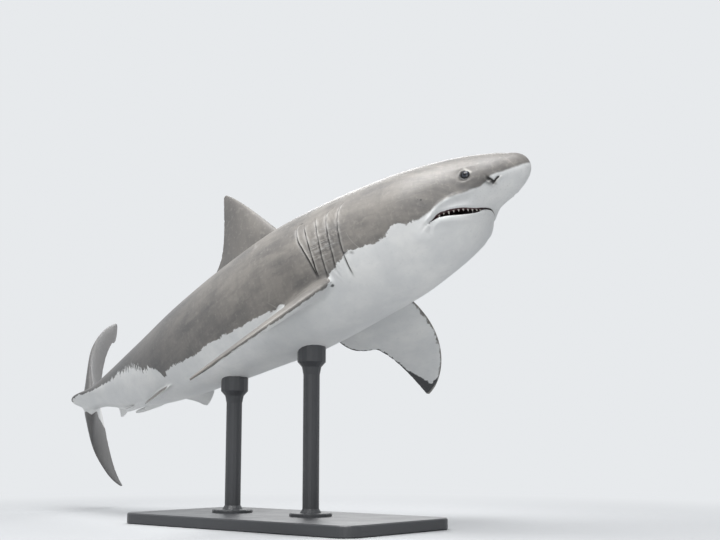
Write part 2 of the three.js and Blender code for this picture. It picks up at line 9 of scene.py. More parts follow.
# %% Load the solids and keep their box
import json
import bmesh
import bpy
import numpy as np
from mathutils import Matrix, Vector

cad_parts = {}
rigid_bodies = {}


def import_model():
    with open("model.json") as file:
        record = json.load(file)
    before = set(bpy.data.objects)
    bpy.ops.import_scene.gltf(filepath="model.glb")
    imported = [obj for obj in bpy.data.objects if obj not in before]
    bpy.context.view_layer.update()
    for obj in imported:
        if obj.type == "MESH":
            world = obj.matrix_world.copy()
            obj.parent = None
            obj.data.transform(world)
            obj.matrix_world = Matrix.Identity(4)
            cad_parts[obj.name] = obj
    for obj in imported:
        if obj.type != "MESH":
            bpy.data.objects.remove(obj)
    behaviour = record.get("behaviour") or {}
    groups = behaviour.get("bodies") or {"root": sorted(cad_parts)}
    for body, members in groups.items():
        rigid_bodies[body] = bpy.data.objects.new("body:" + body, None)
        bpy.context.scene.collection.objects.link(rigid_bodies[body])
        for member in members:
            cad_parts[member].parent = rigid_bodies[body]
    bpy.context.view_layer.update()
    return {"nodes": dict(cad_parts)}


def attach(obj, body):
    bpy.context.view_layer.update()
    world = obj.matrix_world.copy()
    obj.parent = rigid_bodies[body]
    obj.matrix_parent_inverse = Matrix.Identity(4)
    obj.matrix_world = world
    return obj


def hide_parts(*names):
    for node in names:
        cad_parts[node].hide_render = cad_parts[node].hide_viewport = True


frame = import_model()

# %% [markdown]
# ## The measures of the animal
#
# A shark is easiest to describe along its spine. Every place on it is (u, y, z): u is the share
# of the total length behind the snout, y and z are offsets to its left and towards its back.
# One could model the animal straight and bend it later with a lattice or bones. Here the bend
# is a formula, so that any detail can be placed straight away on the bent body.

# %% Length, attitude and bends
LENGTH = 4.3
SPINE_ORIGIN = 0.35
SIDE_BENDS = [[-2.4, 0.00, 0.30], [-8.0, 0.35, 0.65], [-3.4, 0.62, 0.86], [-56, 0.83, 0.915]]
RISE_BENDS = [[-9.6, 0.45, 0.85], [3.5, 0.80, 0.95]]
TWIST_BENDS = [[-6, 0.50, 0.92]]
PITCH, ROLL, YAW = 19.2, -4.4, 4.0
HELD_AT = np.array([0.120, 0.035, 1.330])


def ease(t):
    """A soft step: 0 below 0, 1 above 1, and 3t^2 - 2t^3 between them."""
    t = np.clip(t, 0, 1)
    return t * t * (3 - 2 * t)


def mix(a, b, t):
    """A straight blend from a to b by the share t."""
    return a + (b - a) * t


def within(x, start, rise, end, fall):
    """Rises softly from start over the length rise, and falls from end over the length fall."""
    return ease((x - start) / rise) * (1 - ease((x - end) / fall))


def bend_at(bends, u):
    """Sum over the bends of angle times eased share of the way, less the sum at the origin."""
    return sum(
        angle * (ease((u - start) / (end - start)) - ease((SPINE_ORIGIN - start) / (end - start)))
        for angle, start, end in bends
    )


def turned(first, second, angle):
    """Two square directions turned together: first leans towards second by the angle."""
    c, s = np.cos(angle)[..., None], np.sin(angle)[..., None]
    return first * c + second * s, second * c - first * s


def spine_frame(u):
    """Directions ahead, left and up of the spine at stations u, from its three bends."""
    side, rise, twist = (
        np.radians(bend_at(bends, u)) for bends in (SIDE_BENDS, RISE_BENDS, TWIST_BENDS)
    )
    zero = np.zeros_like(side)
    forward = np.stack([np.cos(side), np.sin(side), zero], -1)
    level = np.stack([-np.sin(side), np.cos(side), zero], -1)
    ahead, upright = turned(forward, np.stack([zero, zero, zero + 1], -1), rise)
    left, up = turned(level, upright, twist)
    return ahead, left, up


SPINE_STEP, SPINE_COUNT = 0.0025, 421
spine_stations = np.arange(SPINE_COUNT) * SPINE_STEP
spine_points = np.zeros((SPINE_COUNT, 3))
spine_points[1:] = -np.cumsum(spine_frame(spine_stations[1:] - SPINE_STEP / 2)[0], 0) * SPINE_STEP


def spine_at(u):
    """The spine's point at stations u, straight between the summed steps."""
    u = np.clip(u, 0, spine_stations[-1])
    return np.stack([np.interp(u, spine_stations, spine_points[:, k]) for k in range(3)], -1)


roll, pitch, yaw = np.radians([ROLL, PITCH, YAW])
STANCE = np.array(
    Matrix.Rotation(yaw, 3, "Z") @ Matrix.Rotation(-pitch, 3, "Y") @ Matrix.Rotation(roll, 3, "X")
)
spine_origin = spine_at(SPINE_ORIGIN)


def place(u, y, z):
    """Spine point plus left times y plus up times z, times the length, set on the stand."""
    u, y, z = np.broadcast_arrays(u, y, z)
    _, left, up = spine_frame(u)
    point = spine_at(u) - spine_origin + left * y[..., None] + up * z[..., None]
    return LENGTH * point @ STANCE.T + HELD_AT


def found(points):
    """The inverse of place: slides u until the point is square to the spine, then reads y, z."""
    local = (points - HELD_AT) @ STANCE / LENGTH + spine_origin
    guess = np.linspace(0, 1.02, 52)
    ahead, _, up = spine_frame(guess)
    gap = local[:, None] - spine_at(guess)[None]
    beside = np.abs(np.einsum("nks,ks->nk", gap, ahead)) * 3 + np.linalg.norm(gap, axis=-1)
    u = guess[np.argmin(beside, 1)]
    for _ in range(24):
        u = u + 0.6 * np.einsum("ns,ns->n", spine_at(u) - local, spine_frame(u)[0])
        u = np.clip(u, 0, 1.03)
    ahead, left, up = spine_frame(u)
    gap = local - spine_at(u)
    return u, np.einsum("ns,ns->n", gap, left), np.einsum("ns,ns->n", gap, up)


nose = place(0.0, 0.0, 0.0)
back_again = found(nose[None] + [[0, 0.01, 0.02]])
print("snout at", nose.round(3), "read back as", [float(v[0].round(4)) for v in back_again])

# %% Sections of the body
SECTIONS = [
    [0.000, 0.0231, 0.0188, 0.0154],
    [0.018, 0.0236, 0.0208, 0.0226],
    [0.035, 0.0295, 0.0229, 0.0316],
    [0.050, 0.0356, 0.0263, 0.0362],
    [0.060, 0.0394, 0.0290, 0.0388],
    [0.072, 0.0436, 0.0388, 0.0430],
    [0.100, 0.0508, 0.0642, 0.0557],
    [0.150, 0.0615, 0.0783, 0.0677],
    [0.200, 0.0698, 0.0864, 0.0717],
    [0.260, 0.0770, 0.0892, 0.0746],
    [0.340, 0.0822, 0.0911, 0.0757],
    [0.450, 0.0754, 0.0820, 0.0681],
    [0.550, 0.0656, 0.0695, 0.0592],
    [0.650, 0.0503, 0.0555, 0.0468],
    [0.750, 0.0318, 0.0357, 0.0313],
    [0.820, 0.0190, 0.0190, 0.0210],
    [0.870, 0.0151, 0.0151, 0.0137],
    [0.910, 0.0080, 0.0080, 0.0050],
]
NOSE_ROUND, NOSE_BLUNT = 0.0325, 2.2
KEEL = {"u": 0.850, "size": 0.0165, "length": 0.042}
BODY_END = 0.910


def smooth_curve(rows):
    """Cubic pieces through rows of [x, values]; each slope is the harmonic mean of its steps."""
    rows = np.array(rows, float)
    x, y = rows[:, 0], rows[:, 1:]
    step = np.diff(y, axis=0) / np.diff(x)[:, None]
    a, b = step[:-1], step[1:]
    inner = np.where(a * b > 0, 2 * a * b / np.where(a + b == 0, 1, a + b), 0)
    slope = np.vstack([step[:1], inner, step[-1:]])

    def at(q):
        q = np.asarray(q, float)
        i = np.clip(np.searchsorted(x, q) - 1, 0, len(x) - 2)
        width = (x[i + 1] - x[i])[..., None]
        t = np.clip((q - x[i]) / (x[i + 1] - x[i]), 0, 1)[..., None]
        blend = t * t * (3 - 2 * t)
        run = width * (slope[i] * t * (1 - t) ** 2 - slope[i + 1] * t * t * (1 - t))
        return y[i] * (1 - blend) + y[i + 1] * blend + run

    return at


sections = smooth_curve(SECTIONS)


def girth(u, angle):
    """Half width and height of the section, with its round nose and the keels of the tail."""
    over, under, half = np.moveaxis(sections(u), -1, 0)
    t = np.clip(u / NOSE_ROUND, 0, 1)
    nose_round = (1 - (1 - t) ** NOSE_BLUNT) ** (1 / NOSE_BLUNT)
    sideways = np.abs(np.sin(np.radians(angle))) ** 12
    keel = KEEL["size"] * np.exp(-(((u - KEEL["u"]) / KEEL["length"]) ** 2)) * sideways
    tall = np.where(np.cos(np.radians(angle)) >= 0, over, under)
    return half * nose_round + keel, tall * nose_round


def skin_at(u, angle, grow=0.0):
    """Across the spine: y = -(width + grow) sin(angle), z = (height + grow) cos(angle)."""
    wide, tall = girth(u, angle)
    turn = np.radians(angle)
    return -(wide + grow) * np.sin(turn), (tall + grow) * np.cos(turn)


print("girth at the gills, m:", round(float(LENGTH * np.pi * sum(girth(0.25, 90.0))), 2))

# %% [markdown]
# ## The skin of the body
#
# The real skin is one hide, tight over the muscles, that is broken only by the mouth, the
# nostrils, the eyes and five gill slits a side. It could be sculpted by hand. A formula is
# easier to repeat: a smooth section for each station, plus a relief, which is how far each
# detail lifts or sinks the skin. Rows of the mesh run round the body and columns along it.

# %% Where the details of the head lie
MOUTH = [
    [0.060, -0.0300, 0.0003],
    [0.066, -0.0317, 0.0008],
    [0.073, -0.0338, 0.0022],
    [0.085, -0.0334, 0.0036],
    [0.098, -0.0325, 0.0028],
    [0.106, -0.0320, 0.0018],
    [0.112, -0.0336, 0.0006],
    [0.119, -0.0362, 0.0001],
]
MOUTH_FRONT, MOUTH_CORNER = MOUTH[0][0], MOUTH[-1][0]
EYE = {"u": 0.0650, "angle": 84.8, "radius": 0.0078, "depth": 0.0062}
NOSTRIL = (0.0405, 120.5)
STREAK = (0.0405, 134.0), (0.0282, 121.0)
CREASE = (0.0398, 130.5), (0.0318, 120.5)
SLITS = [
    [[57.5, 0.2184], [61, 0.2215], [69, 0.2252], [88, 0.2274], [104, 0.2292], [130, 0.2308]],
    [[58, 0.2310], [61.5, 0.2420], [66, 0.2434], [85, 0.2428], [100, 0.2434], [120, 0.2485]],
    [[62, 0.2608], [75, 0.2585], [88, 0.2575], [101, 0.2588], [113, 0.2606], [123, 0.2640]],
    [[64, 0.2785], [82, 0.2738], [99, 0.2721], [109, 0.2730], [119, 0.2742]],
    [[58.5, 0.2839], [61.5, 0.2908], [77, 0.2880], [87, 0.2832], [103, 0.2769], [119, 0.2754]],
]
slit_lines = [smooth_curve(rows) for rows in SLITS]
GILLS_FROM, GILLS_TO = 0.200, 0.300
mouth_line = smooth_curve(MOUTH)


def mouth_level(u):
    """Height of the middle of the cleft."""
    return mouth_line(u)[..., 0]


def mouth_open(u):
    """Half the opening between the lips."""
    return mouth_line(u)[..., 1]


def slit_at(slit, angle):
    """Station of a gill slit at an angle; beyond its ends it runs out to an even spacing."""
    even = mix(GILLS_FROM, GILLS_TO, (slit + 1) / 6)
    beyond = np.maximum(SLITS[slit][0][0] - angle, angle - SLITS[slit][-1][0])
    return mix(slit_lines[slit](angle)[..., 0], even, ease(beyond / 45))


def slit_taper(slit, angle):
    """Fades a slit out at its two ends, quickly above and slowly below."""
    return ease((angle - SLITS[slit][0][0]) / 2.5) * ease((SLITS[slit][-1][0] - angle) / 11)


# %% The relief of the skin
def bump(distance, width):
    """A round bump: e to the minus square of distance over width."""
    return np.exp(-((distance / width) ** 2))


def arm(u, angle):
    """Metres of skin for each radian of the angle: the length of (w cos, h sin)."""
    wide, tall = girth(u, angle)
    turn = np.radians(angle)
    return LENGTH * np.hypot(wide * np.cos(turn), tall * np.sin(turn))


def beside(u, angle, at_u, at_angle):
    """Metres back and metres down the skin from the place (at_u, at_angle)."""
    return (u - at_u) * LENGTH, np.radians(angle - at_angle) * arm(at_u, at_angle)


def from_segment(u, angle, start, end):
    """Metres on the skin from the straight piece between two places."""
    back, down = beside(u, angle, *start)
    to_back, to_down = beside(*end, *start)
    t = np.clip((back * to_back + down * to_down) / (to_back ** 2 + to_down ** 2), 0, 1)
    return np.hypot(back - t * to_back, down - t * to_down)


def eye_relief(u, angle):
    """A socket sunk under the eyeball, a rim and a groove round it, a brow above, a pouch below."""
    back, down = beside(u, angle, EYE["u"], EYE["angle"])
    away = np.hypot(back, down)
    socket = -0.020 * (1 - ease((away - 0.0150) / 0.0055))
    rim = 0.0021 * bump(away - 0.0245, 0.0058) * (1 - ease((0.0205 - away) / 0.004))
    brow = 0.0050 * bump(back, 0.060) * bump(down + 0.044, 0.017)
    pouch = 0.0026 * bump(back - 0.004, 0.040) * bump(down - 0.043, 0.012)
    groove = -0.0022 * bump(back, 0.034) * bump(away - 0.0335, 0.0036)
    return socket + rim + brow + pouch + groove


def nostril_frame(u, angle):
    """Metres along and across the nostril, which slants down and forwards."""
    back, down = beside(u, angle, *NOSTRIL)
    return down * 0.93 - back * 0.36, back * 0.93 + down * 0.36


def nostril_relief(u, angle):
    """A slanting pit in a low swelling, a raised flap along its rear edge, and a crease below."""
    along, across = nostril_frame(u, angle)
    pit = -0.0170 * bump(along, 0.0250) * bump(across, 0.0090)
    flap = 0.0060 * bump(along + 0.003, 0.0150) * bump(across - 0.0125, 0.0050)
    swell = 0.0050 * bump(along, 0.040) * bump(across, 0.028)
    crease = 0.0035 * bump(from_segment(u, angle, *STREAK), 0.0045)
    crease = crease - 0.0060 * bump(from_segment(u, angle, *CREASE), 0.0055)
    return swell + pit + flap + crease


def below(u, angle, line):
    """Metres down the skin from a line that gives an angle for each station."""
    return np.radians(angle - line(u)[..., 0]) * arm(u, angle)


lip_ridge = smooth_curve([[0.050, 124], [0.065, 117], [0.076, 112], [0.085, 108.5],
                          [0.098, 108.5], [0.105, 110.5], [0.112, 114], [0.124, 122]])


def lip_relief(u, angle):
    """The lips and the chin, the ridge of skin over the upper lip, and the fold, the cheek and
    the jaw muscle behind the corner."""
    z = skin_at(u, angle)[1]
    over_lip = (z - mouth_level(u)) * LENGTH
    gape = mouth_open(u) * LENGTH
    share = (u - MOUTH_FRONT) / (MOUTH_CORNER - MOUTH_FRONT)
    beside_mouth = within(share, 0.02, 0.24, 0.88, 0.30)
    low_half = ease((angle - 70) / 25)
    upper = 0.0040 * bump(over_lip - gape - 0.010, 0.0110)
    lower = 0.0064 * bump(over_lip + gape + 0.017, 0.0170)
    under = -0.0036 * bump(over_lip + gape + 0.048, 0.0150) * ease((share - 0.55) / 0.4)
    lips = (upper + lower + under) * beside_mouth * low_half
    only_below = ease(0.5 - over_lip / (2 * np.maximum(gape, 0.004)))
    under_lip = over_lip + gape + 0.025
    chin = 0.0150 * bump(under_lip, np.where(under_lip > 0, 0.060, 0.130))
    chin = chin * (1 - ease((share + 0.10) / 1.5))
    lips = lips + chin * only_below * low_half * ease((share + 0.10) / 0.08)
    down = below(u, angle, lip_ridge)
    ridge = 0.0085 * bump(down - 0.003, 0.0140) - 0.0075 * bump(down - 0.035, 0.0170)
    ridge = ridge * within(u, 0.058, 0.020, 0.116, 0.016)
    back, down = beside(u, angle, 0.1195, 120.0)
    fold_back, fold_down = back * 0.93 + down * 0.37, down * 0.93 - back * 0.37
    fold = -0.0100 * bump(fold_back - 0.012, 0.030) * bump(fold_down, 0.0056)
    cheek = 0.0115 * bump(back - 0.030, 0.085) * bump(down - 0.060, 0.050)
    jaw_muscle = 0.0075 * bump(back - 0.10, 0.11) * bump(down + 0.10, 0.085)
    return lips + ridge + fold + cheek + jaw_muscle


def gill_relief(u, angle):
    """Each slit: a flap that lifts towards its rear edge, a sharp drop, and a slow way out. Fine
    ripples lie between the slits."""
    lift = np.zeros(np.broadcast(u, angle).shape)
    for slit in range(len(SLITS)):
        behind = (u - slit_at(slit, angle)) * LENGTH
        taper = slit_taper(slit, angle)
        flap = 0.0050 * np.exp(np.minimum(behind, 0) / 0.012)
        wall = ease(behind / 0.0022)
        pit = -0.0200 * np.exp(-np.maximum(behind - 0.0022, 0) / 0.0080)
        lift = lift + taper * mix(flap, pit, wall)
    span = bump(u - 0.252, 0.040) * within(angle, 52, 18, 118, 14)
    ripples = np.sin(angle * 0.42 + u * 260) * np.sin(u * 900 + angle * 0.11)
    return lift + 0.0022 * span * ripples


def body_relief(u, angle):
    """Broad forms: a notch before the tail fin, flank muscles, the shoulder and the belly."""
    to_back = np.minimum(angle, 180 - angle)
    notch = -0.0080 * bump(u - 0.8560, 0.0055) * bump(to_back, 24)
    flank = 0.0030 * np.sin(u * 46) * bump(angle - 84, 34) * ease((u - 0.30) / 0.1)
    hollow = -0.0080 * bump(u - 0.330, 0.030) * bump(angle - 108, 13)
    shoulder = 0.0050 * bump(u - 0.300, 0.022) * bump(angle - 92, 26)
    belly = -0.0040 * bump(angle - 180, 14) * within(u, 0.30, 0.1, 0.55, 0.2)
    return notch + (flank + hollow + shoulder + belly) * (1 - ease((u - 0.70) / 0.1))


def folded(angle):
    """The angle of the same place on the right side, so that both sides match."""
    return 180 - np.abs(180 - angle)


def relief(u, angle):
    """All details together, in metres outwards."""
    side = folded(angle)
    head = eye_relief(u, side) + nostril_relief(u, side) + lip_relief(u, side)
    return head + gill_relief(u, side) + body_relief(u, side)


print("deepest point of a gill slit, mm:", round(1000 * float(gill_relief(0.2505, 92.0)), 1))

# %% Rows and columns of the body mesh
COLUMNS = 160


def gill_rows(angle):
    """Stations between two gill slits: the same shares of the way, close at both ends."""
    between = np.array([0, 0.03, 0.07, 0.12, 0.19, 0.29, 0.42, 0.55, 0.68, 0.80, 0.89, 0.95, 0.985])
    slits = [slit_at(slit, angle) for slit in range(len(SLITS))]
    knots = [GILLS_FROM + 0 * angle, *slits, GILLS_TO + 0 * angle]
    return np.concatenate([
        mix(first[None], last[None], between[:, None]) for first, last in zip(knots, knots[1:])
    ])


def body_rows():
    """Stations u and angles of the whole net: fine on the head, along the slits, then even."""
    nose = NOSE_ROUND * (1 - np.cos(np.radians(np.arange(3.5, 43, 3.8))))
    head = np.arange(nose[-1] + 0.0011, 0.1285, 0.00108)
    neck = np.linspace(head[-1] + 0.0016, GILLS_FROM, 34)[:-1]
    trunk = np.linspace(GILLS_TO, 0.840, 128)
    tail = np.linspace(0.8425, BODY_END, 28)
    half = COLUMNS // 2
    even = np.linspace(0, 180, half + 1)
    packed = smooth_curve([[0, 0], [0.20, 68], [0.74, 134], [1, 180]])(even / 180)[:, 0]
    side = np.concatenate([even, 360 - even[-2:0:-1]])
    packed_side = np.concatenate([packed, 360 - packed[-2:0:-1]])
    column = np.ones(COLUMNS)
    rows = [np.concatenate([nose, head, neck])[:, None] * column, gill_rows(folded(side)),
            np.concatenate([trunk, tail])[:, None] * column]
    u = np.concatenate(rows)
    on_head = 1 - ease((u - 0.125) / 0.065)
    return u, mix(side[None] * np.ones_like(u), packed_side[None], on_head)


row_u, row_angle = body_rows()
lift = relief(row_u, row_angle) / LENGTH
body_points = place(row_u, *skin_at(row_u, row_angle, lift))
print("net of the body:", body_points.shape[:2], "rows and columns")

# %% [markdown]
# ## From nets to closed meshes
#
# A net of rows that close on themselves is a tube. A fan of triangles at each end makes it a
# closed body, which the later joining of body and fins needs. Counting the volume with its
# sign tells whether the faces look outwards, and if not they are turned round.

# %% Tubes and meshes
def ring_faces(rows, count):
    """Columns, their neighbours, and the quads between rows of a net that closes on itself."""
    j = np.arange(count)
    k = (j + 1) % count
    base = np.arange(rows - 1)[:, None] * count
    quads = np.stack([base + j, base + k, base + count + k, base + count + j], -1)
    return j, k, quads.reshape(-1, 4)


def tube(points, first, last):
    """Vertices and faces of rows joined in rings, with a fan of triangles at either end."""
    rows, count = points.shape[:2]
    j, k, quads = ring_faces(rows, count)
    end = (rows - 1) * count
    fans = np.concatenate([
        np.stack([np.full(count, rows * count), k, j], -1),
        np.stack([np.full(count, rows * count + 1), end + j, end + k], -1),
    ])
    vertices = np.concatenate([points.reshape(-1, 3), [first, last]])
    corners = vertices[quads]
    cross = np.cross(corners[:, 2] - corners[:, 0], corners[:, 3] - corners[:, 1])
    if np.einsum("ns,ns->", corners.mean(1) - vertices.mean(0), cross) < 0:
        quads, fans = quads[:, ::-1], fans[:, ::-1]
    return vertices, quads.tolist() + fans.tolist()


def capped_tube(net):
    """A tube whose ends close at the middle of its first and last ring."""
    return tube(net, net[0].mean(0), net[-1].mean(0))


def once_round(count):
    """Even angles once round a ring, as a row."""
    return np.linspace(0, 2 * np.pi, count, endpoint=False)[None]


def object_from(name, vertices, faces):
    """A smooth mesh object at the origin, with its place in its vertices."""
    mesh = bpy.data.meshes.new(name)
    mesh.from_pydata(np.asarray(vertices).tolist(), [], faces)
    mesh.shade_smooth()
    mesh.validate()
    piece = bpy.data.objects.new(name, mesh)
    bpy.context.scene.collection.objects.link(piece)
    return piece


body = object_from("body_form", *tube(body_points, place(0, 0, 0), place(BODY_END, 0, 0)))
print("body form:", len(body.data.polygons), "faces")

# %% [markdown]
# ## The fins
#
# A shark's fin is a stiff plate of cartilage rays under skin: round in front, thickest at a
# third of its chord and thin as card at the back. Each is a wing: a front and a rear edge
# drawn as curves, with a wing section between them. Middle fins lie in the bent plane of the
# spine. Paired fins stand in planes of their own, hinged at a place on the skin.

# %% Outlines of the fins
def outline(*curves, joints=(0, 1)):
    """An edge as a chain of Bezier curves, and the shares of the span where they meet."""
    return {"curves": [np.array(c, float) for c in curves], "joints": joints}


SMALL_FIN = {"root": 0.0028, "tip": 0.0006, "rows": 22, "steps": 10, "fray": 0.0}
TAIL_LOBE = {"root": 0.0125, "tip": 0.0012, "steps": 16, "fray": 0.0008, "bulge": 3}
DORSAL = {
    "lead": outline([[0.338, 0.050], [0.375, 0.092], [0.418, 0.162], [0.4495, 0.1868]]),
    "trail": outline([[0.452, 0.050], [0.476, 0.076], [0.5045, 0.0825]],
                     [[0.5045, 0.0825], [0.470, 0.098], [0.4655, 0.150], [0.4550, 0.1855]],
                     joints=(0, 0.14, 1)),
    "root": 0.0098, "tip": 0.0012, "rows": 48, "steps": 17, "fray": 0.0010,
}
SECOND_DORSAL = {
    **SMALL_FIN,
    "lead": outline([[0.738, 0.018], [0.748, 0.035], [0.7615, 0.0385]]),
    "trail": outline([[0.760, 0.018], [0.768, 0.0285], [0.7790, 0.0305]],
                     [[0.7790, 0.0305], [0.7670, 0.0325], [0.7650, 0.0380]],
                     joints=(0, 0.35, 1)),
}
ANAL = {
    **SMALL_FIN,
    "lead": outline([[0.728, -0.024], [0.738, -0.0450], [0.7560, -0.0485]]),
    "trail": outline([[0.750, -0.020], [0.764, -0.0300], [0.7700, -0.0315]],
                     [[0.7700, -0.0315], [0.7620, -0.0360], [0.7605, -0.0470]],
                     joints=(0, 0.35, 1)),
}
UPPER_LOBE = {
    **TAIL_LOBE,
    "lead": outline([[0.852, 0], [0.890, 0.072], [0.910, 0.124], [1.0080, 0.1600]]),
    "trail": outline([[0.9240, 0], [0.9310, 0.050], [0.9500, 0.090], [0.9880, 0.1210]],
                     [[0.9880, 0.1210], [1.0040, 0.1190], [1.0130, 0.1560]],
                     joints=(0, 0.76, 1)),
    "rows": 58, "sink": 0.008,
}
LOWER_LOBE = {
    **TAIL_LOBE,
    "lead": outline([[0.852, 0], [0.872, -0.066], [0.910, -0.115], [0.9740, -0.1265]]),
    "trail": outline([[0.9240, 0], [0.9380, -0.045], [0.9410, -0.098], [0.9790, -0.1250]]),
    "rows": 48, "sink": -0.008,
}
PECTORAL = {
    "lead": outline([[-0.014, -0.030], [-0.004, 0.107], [0.092, 0.1735], [0.1260, 0.1735]]),
    "trail": outline([[0.098, -0.030], [0.112, 0.000], [0.1085, 0.0200]],
                     [[0.1085, 0.0200], [0.104, 0.034], [0.0925, 0.0425]],
                     [[0.0925, 0.0425], [0.0900, 0.075], [0.112, 0.128], [0.1285, 0.1700]],
                     joints=(0, 0.24, 0.40, 1)),
    "root": 0.0085, "tip": 0.0012, "rows": 64, "steps": 18, "fray": 0.0010,
}
PELVIC = {
    "lead": outline([[-0.014, -0.018], [0.000, 0.013], [0.0285, 0.0318]]),
    "trail": outline([[0.062, -0.018], [0.074, -0.006], [0.0745, 0.0010]],
                     [[0.0745, 0.0010], [0.043, 0.009], [0.0340, 0.0298]],
                     joints=(0, 0.3, 1)),
    "root": 0.0042, "tip": 0.0009, "rows": 28, "steps": 12, "fray": 0.0,
}
CLASPER = {"from": 0.612, "to": 0.734, "radius": 0.0042}
MIDDLE_FINS = {"dorsal_fin": DORSAL, "second_dorsal_fin": SECOND_DORSAL, "anal_fin": ANAL,
               "tail_fin_upper_lobe": UPPER_LOBE, "tail_fin_lower_lobe": LOWER_LOBE}
THIN_EDGE = 0.00042


def bezier(points, t):
    """De Casteljau: neighbouring points are blended by t until one is left."""
    layers = [point[None] * np.ones_like(t)[:, None] for point in points]
    while len(layers) > 1:
        layers = [mix(a, b, t[:, None]) for a, b in zip(layers, layers[1:])]
    return layers[0]


def edge_at(edge, v):
    """The point of an edge at shares v of the span, from the curve that covers each."""
    joints = np.array(edge["joints"], float)
    piece = np.clip(np.searchsorted(joints, v) - 1, 0, len(edge["curves"]) - 1)
    spans = [(v - joints[k]) / (joints[k + 1] - joints[k]) for k in range(len(joints) - 1)]
    drawn = np.stack([bezier(curve, t) for curve, t in zip(edge["curves"], spans)])
    return drawn[piece, np.arange(len(v))]


def foil(c):
    """Half thickness of the classic wing section at share c of the chord, for a greatest of 1."""
    return 10 * (
        0.2969 * np.sqrt(c) - 0.126 * c - 0.3516 * c ** 2 + 0.2843 * c ** 3 - 0.1036 * c ** 4
    )


def fin_net(shape, to_place):
    """Rows from root to tip, rings round the section: point = mix(lead, trail, c) +- thickness.
    Where the outline has a sink, the first row is drawn in and sunk into the body."""
    v = 1 - (1 - np.linspace(0, 1, shape["rows"] + 1)) ** 1.25
    front, rear = edge_at(shape["lead"], v), edge_at(shape["trail"], v)
    turn = np.pi * np.arange(2 * shape["steps"]) / shape["steps"]
    c = (1 - np.cos(turn)) / 2
    half = mix(shape["root"], shape["tip"], 1 - (1 - v) ** shape.get("bulge", 1))
    side = np.sign(np.round(np.sin(turn), 6))
    thick = side * np.maximum(half[:, None] * foil(c), THIN_EDGE)
    nick = np.maximum(0, np.sin(61 * v) * np.sin(143 * v + 1.3) + 0.35 * np.sin(290 * v)) ** 1.5
    chord = np.maximum(np.linalg.norm(rear - front, axis=1), 1e-4)
    loss = shape["fray"] * nick * within(v, 0.2, 0.1, 0.9, 0.08) / chord
    c = c * (1 - loss[:, None] * ease((c - 0.8) / 0.2))
    flat = mix(front[:, None], rear[:, None], c[..., None])
    if "sink" in shape:
        flat[0] = mix(front[0], rear[0], 0.10 + 0.78 * c[0][:, None]) - [0, shape["sink"]]
        thick[0] *= 0.55
    return to_place(flat[..., 0], flat[..., 1], thick)


def middle_plane(back, out, thick):
    """Middle fins: the station is the place back, the height is the place out."""
    return place(back, thick, out)


def paired_plane(at, sweep, droop, pitch, side):
    """Paired fins: root, and the directions to rear, tip and top, turned by the three angles."""
    y, z = skin_at(*at)
    root = place(at[0], y * side, z)
    ahead, left, up = (direction @ STANCE.T for direction in spine_frame(at[0]))
    lowered, over = turned(left * -side, up, -np.radians(droop))
    chord, normal = turned(-ahead, over, -np.radians(pitch))
    tip, rear = turned(lowered, chord, np.radians(sweep))
    return root, rear, tip, normal


def paired_map(plane):
    """Turns (back, out, thickness) into a point of the plane."""
    root, rear, tip, normal = plane
    return lambda back, out, thick: root + LENGTH * (
        back[..., None] * rear + out[..., None] * tip + thick[..., None] * normal
    )


def clasper_net(side):
    """A rod under the belly that sags a little and rounds off at its end."""
    t = np.linspace(0, 1, 40)[:, None]
    turn = once_round(20)
    round_end = np.sqrt(1 - np.maximum(0, (t - 0.85) / 0.17) ** 2)
    radius = CLASPER["radius"] * (1 - 0.25 * t) * round_end
    y = -side * mix(0.0095, 0.0100, t) + radius * np.cos(turn)
    z = mix(-0.0500, -0.0450, t) - 0.004 * t * (1 - t) + radius * np.sin(turn)
    return place(mix(CLASPER["from"], CLASPER["to"], t), y, z)


PLANES = {
    "pectoral_fin_right": paired_plane([0.270, 123], -9, 31, 5.8, 1),
    "pectoral_fin_left": paired_plane([0.257, 120], -9.5, 18.3, 11.7, -1),
    "pelvic_fin_right": paired_plane([0.588, 142], 4, 36, 4, 1),
    "pelvic_fin_left": paired_plane([0.583, 142], 18, 28, 4, -1),
}
nets = {
    **{name: fin_net(shape, middle_plane) for name, shape in MIDDLE_FINS.items()},
    **{name: fin_net(PECTORAL if "pectoral" in name else PELVIC, paired_map(plane))
       for name, plane in PLANES.items()},
    "clasper_right": clasper_net(1),
    "clasper_left": clasper_net(-1),
}
parts = ["body", *nets, "mouth"]
forms = {name: object_from(name + "_form", *capped_tube(net)) for name, net in nets.items()}
print("fins and claspers:", {name: net.shape[:2] for name, net in nets.items()})

# %% [markdown]
# ## The cleft of the mouth
#
# The mouth hangs just open, as it does while the animal swims. The cleft is a body of its own
# that is cut out of the skin: as thin as the opening where it leaves the lips, and deeper
# behind them, so that the gums and teeth have room and the inside stays dark.

# %% The body that is cut out
CLEFT = {"ahead": 0.014, "past_skin": 0.010, "lip": 0.0028, "slope": 0.012, "up": 0.0095,
         "down": 0.0085, "wall": 0.006}


def lip_width(u, level):
    """Half width of the body where it meets a level under the spine: w sqrt(1 - (level/d)^2)."""
    _, under, half = np.moveaxis(sections(u), -1, 0)
    return half * np.sqrt(np.clip(1 - (level / under) ** 2, 0, 1))


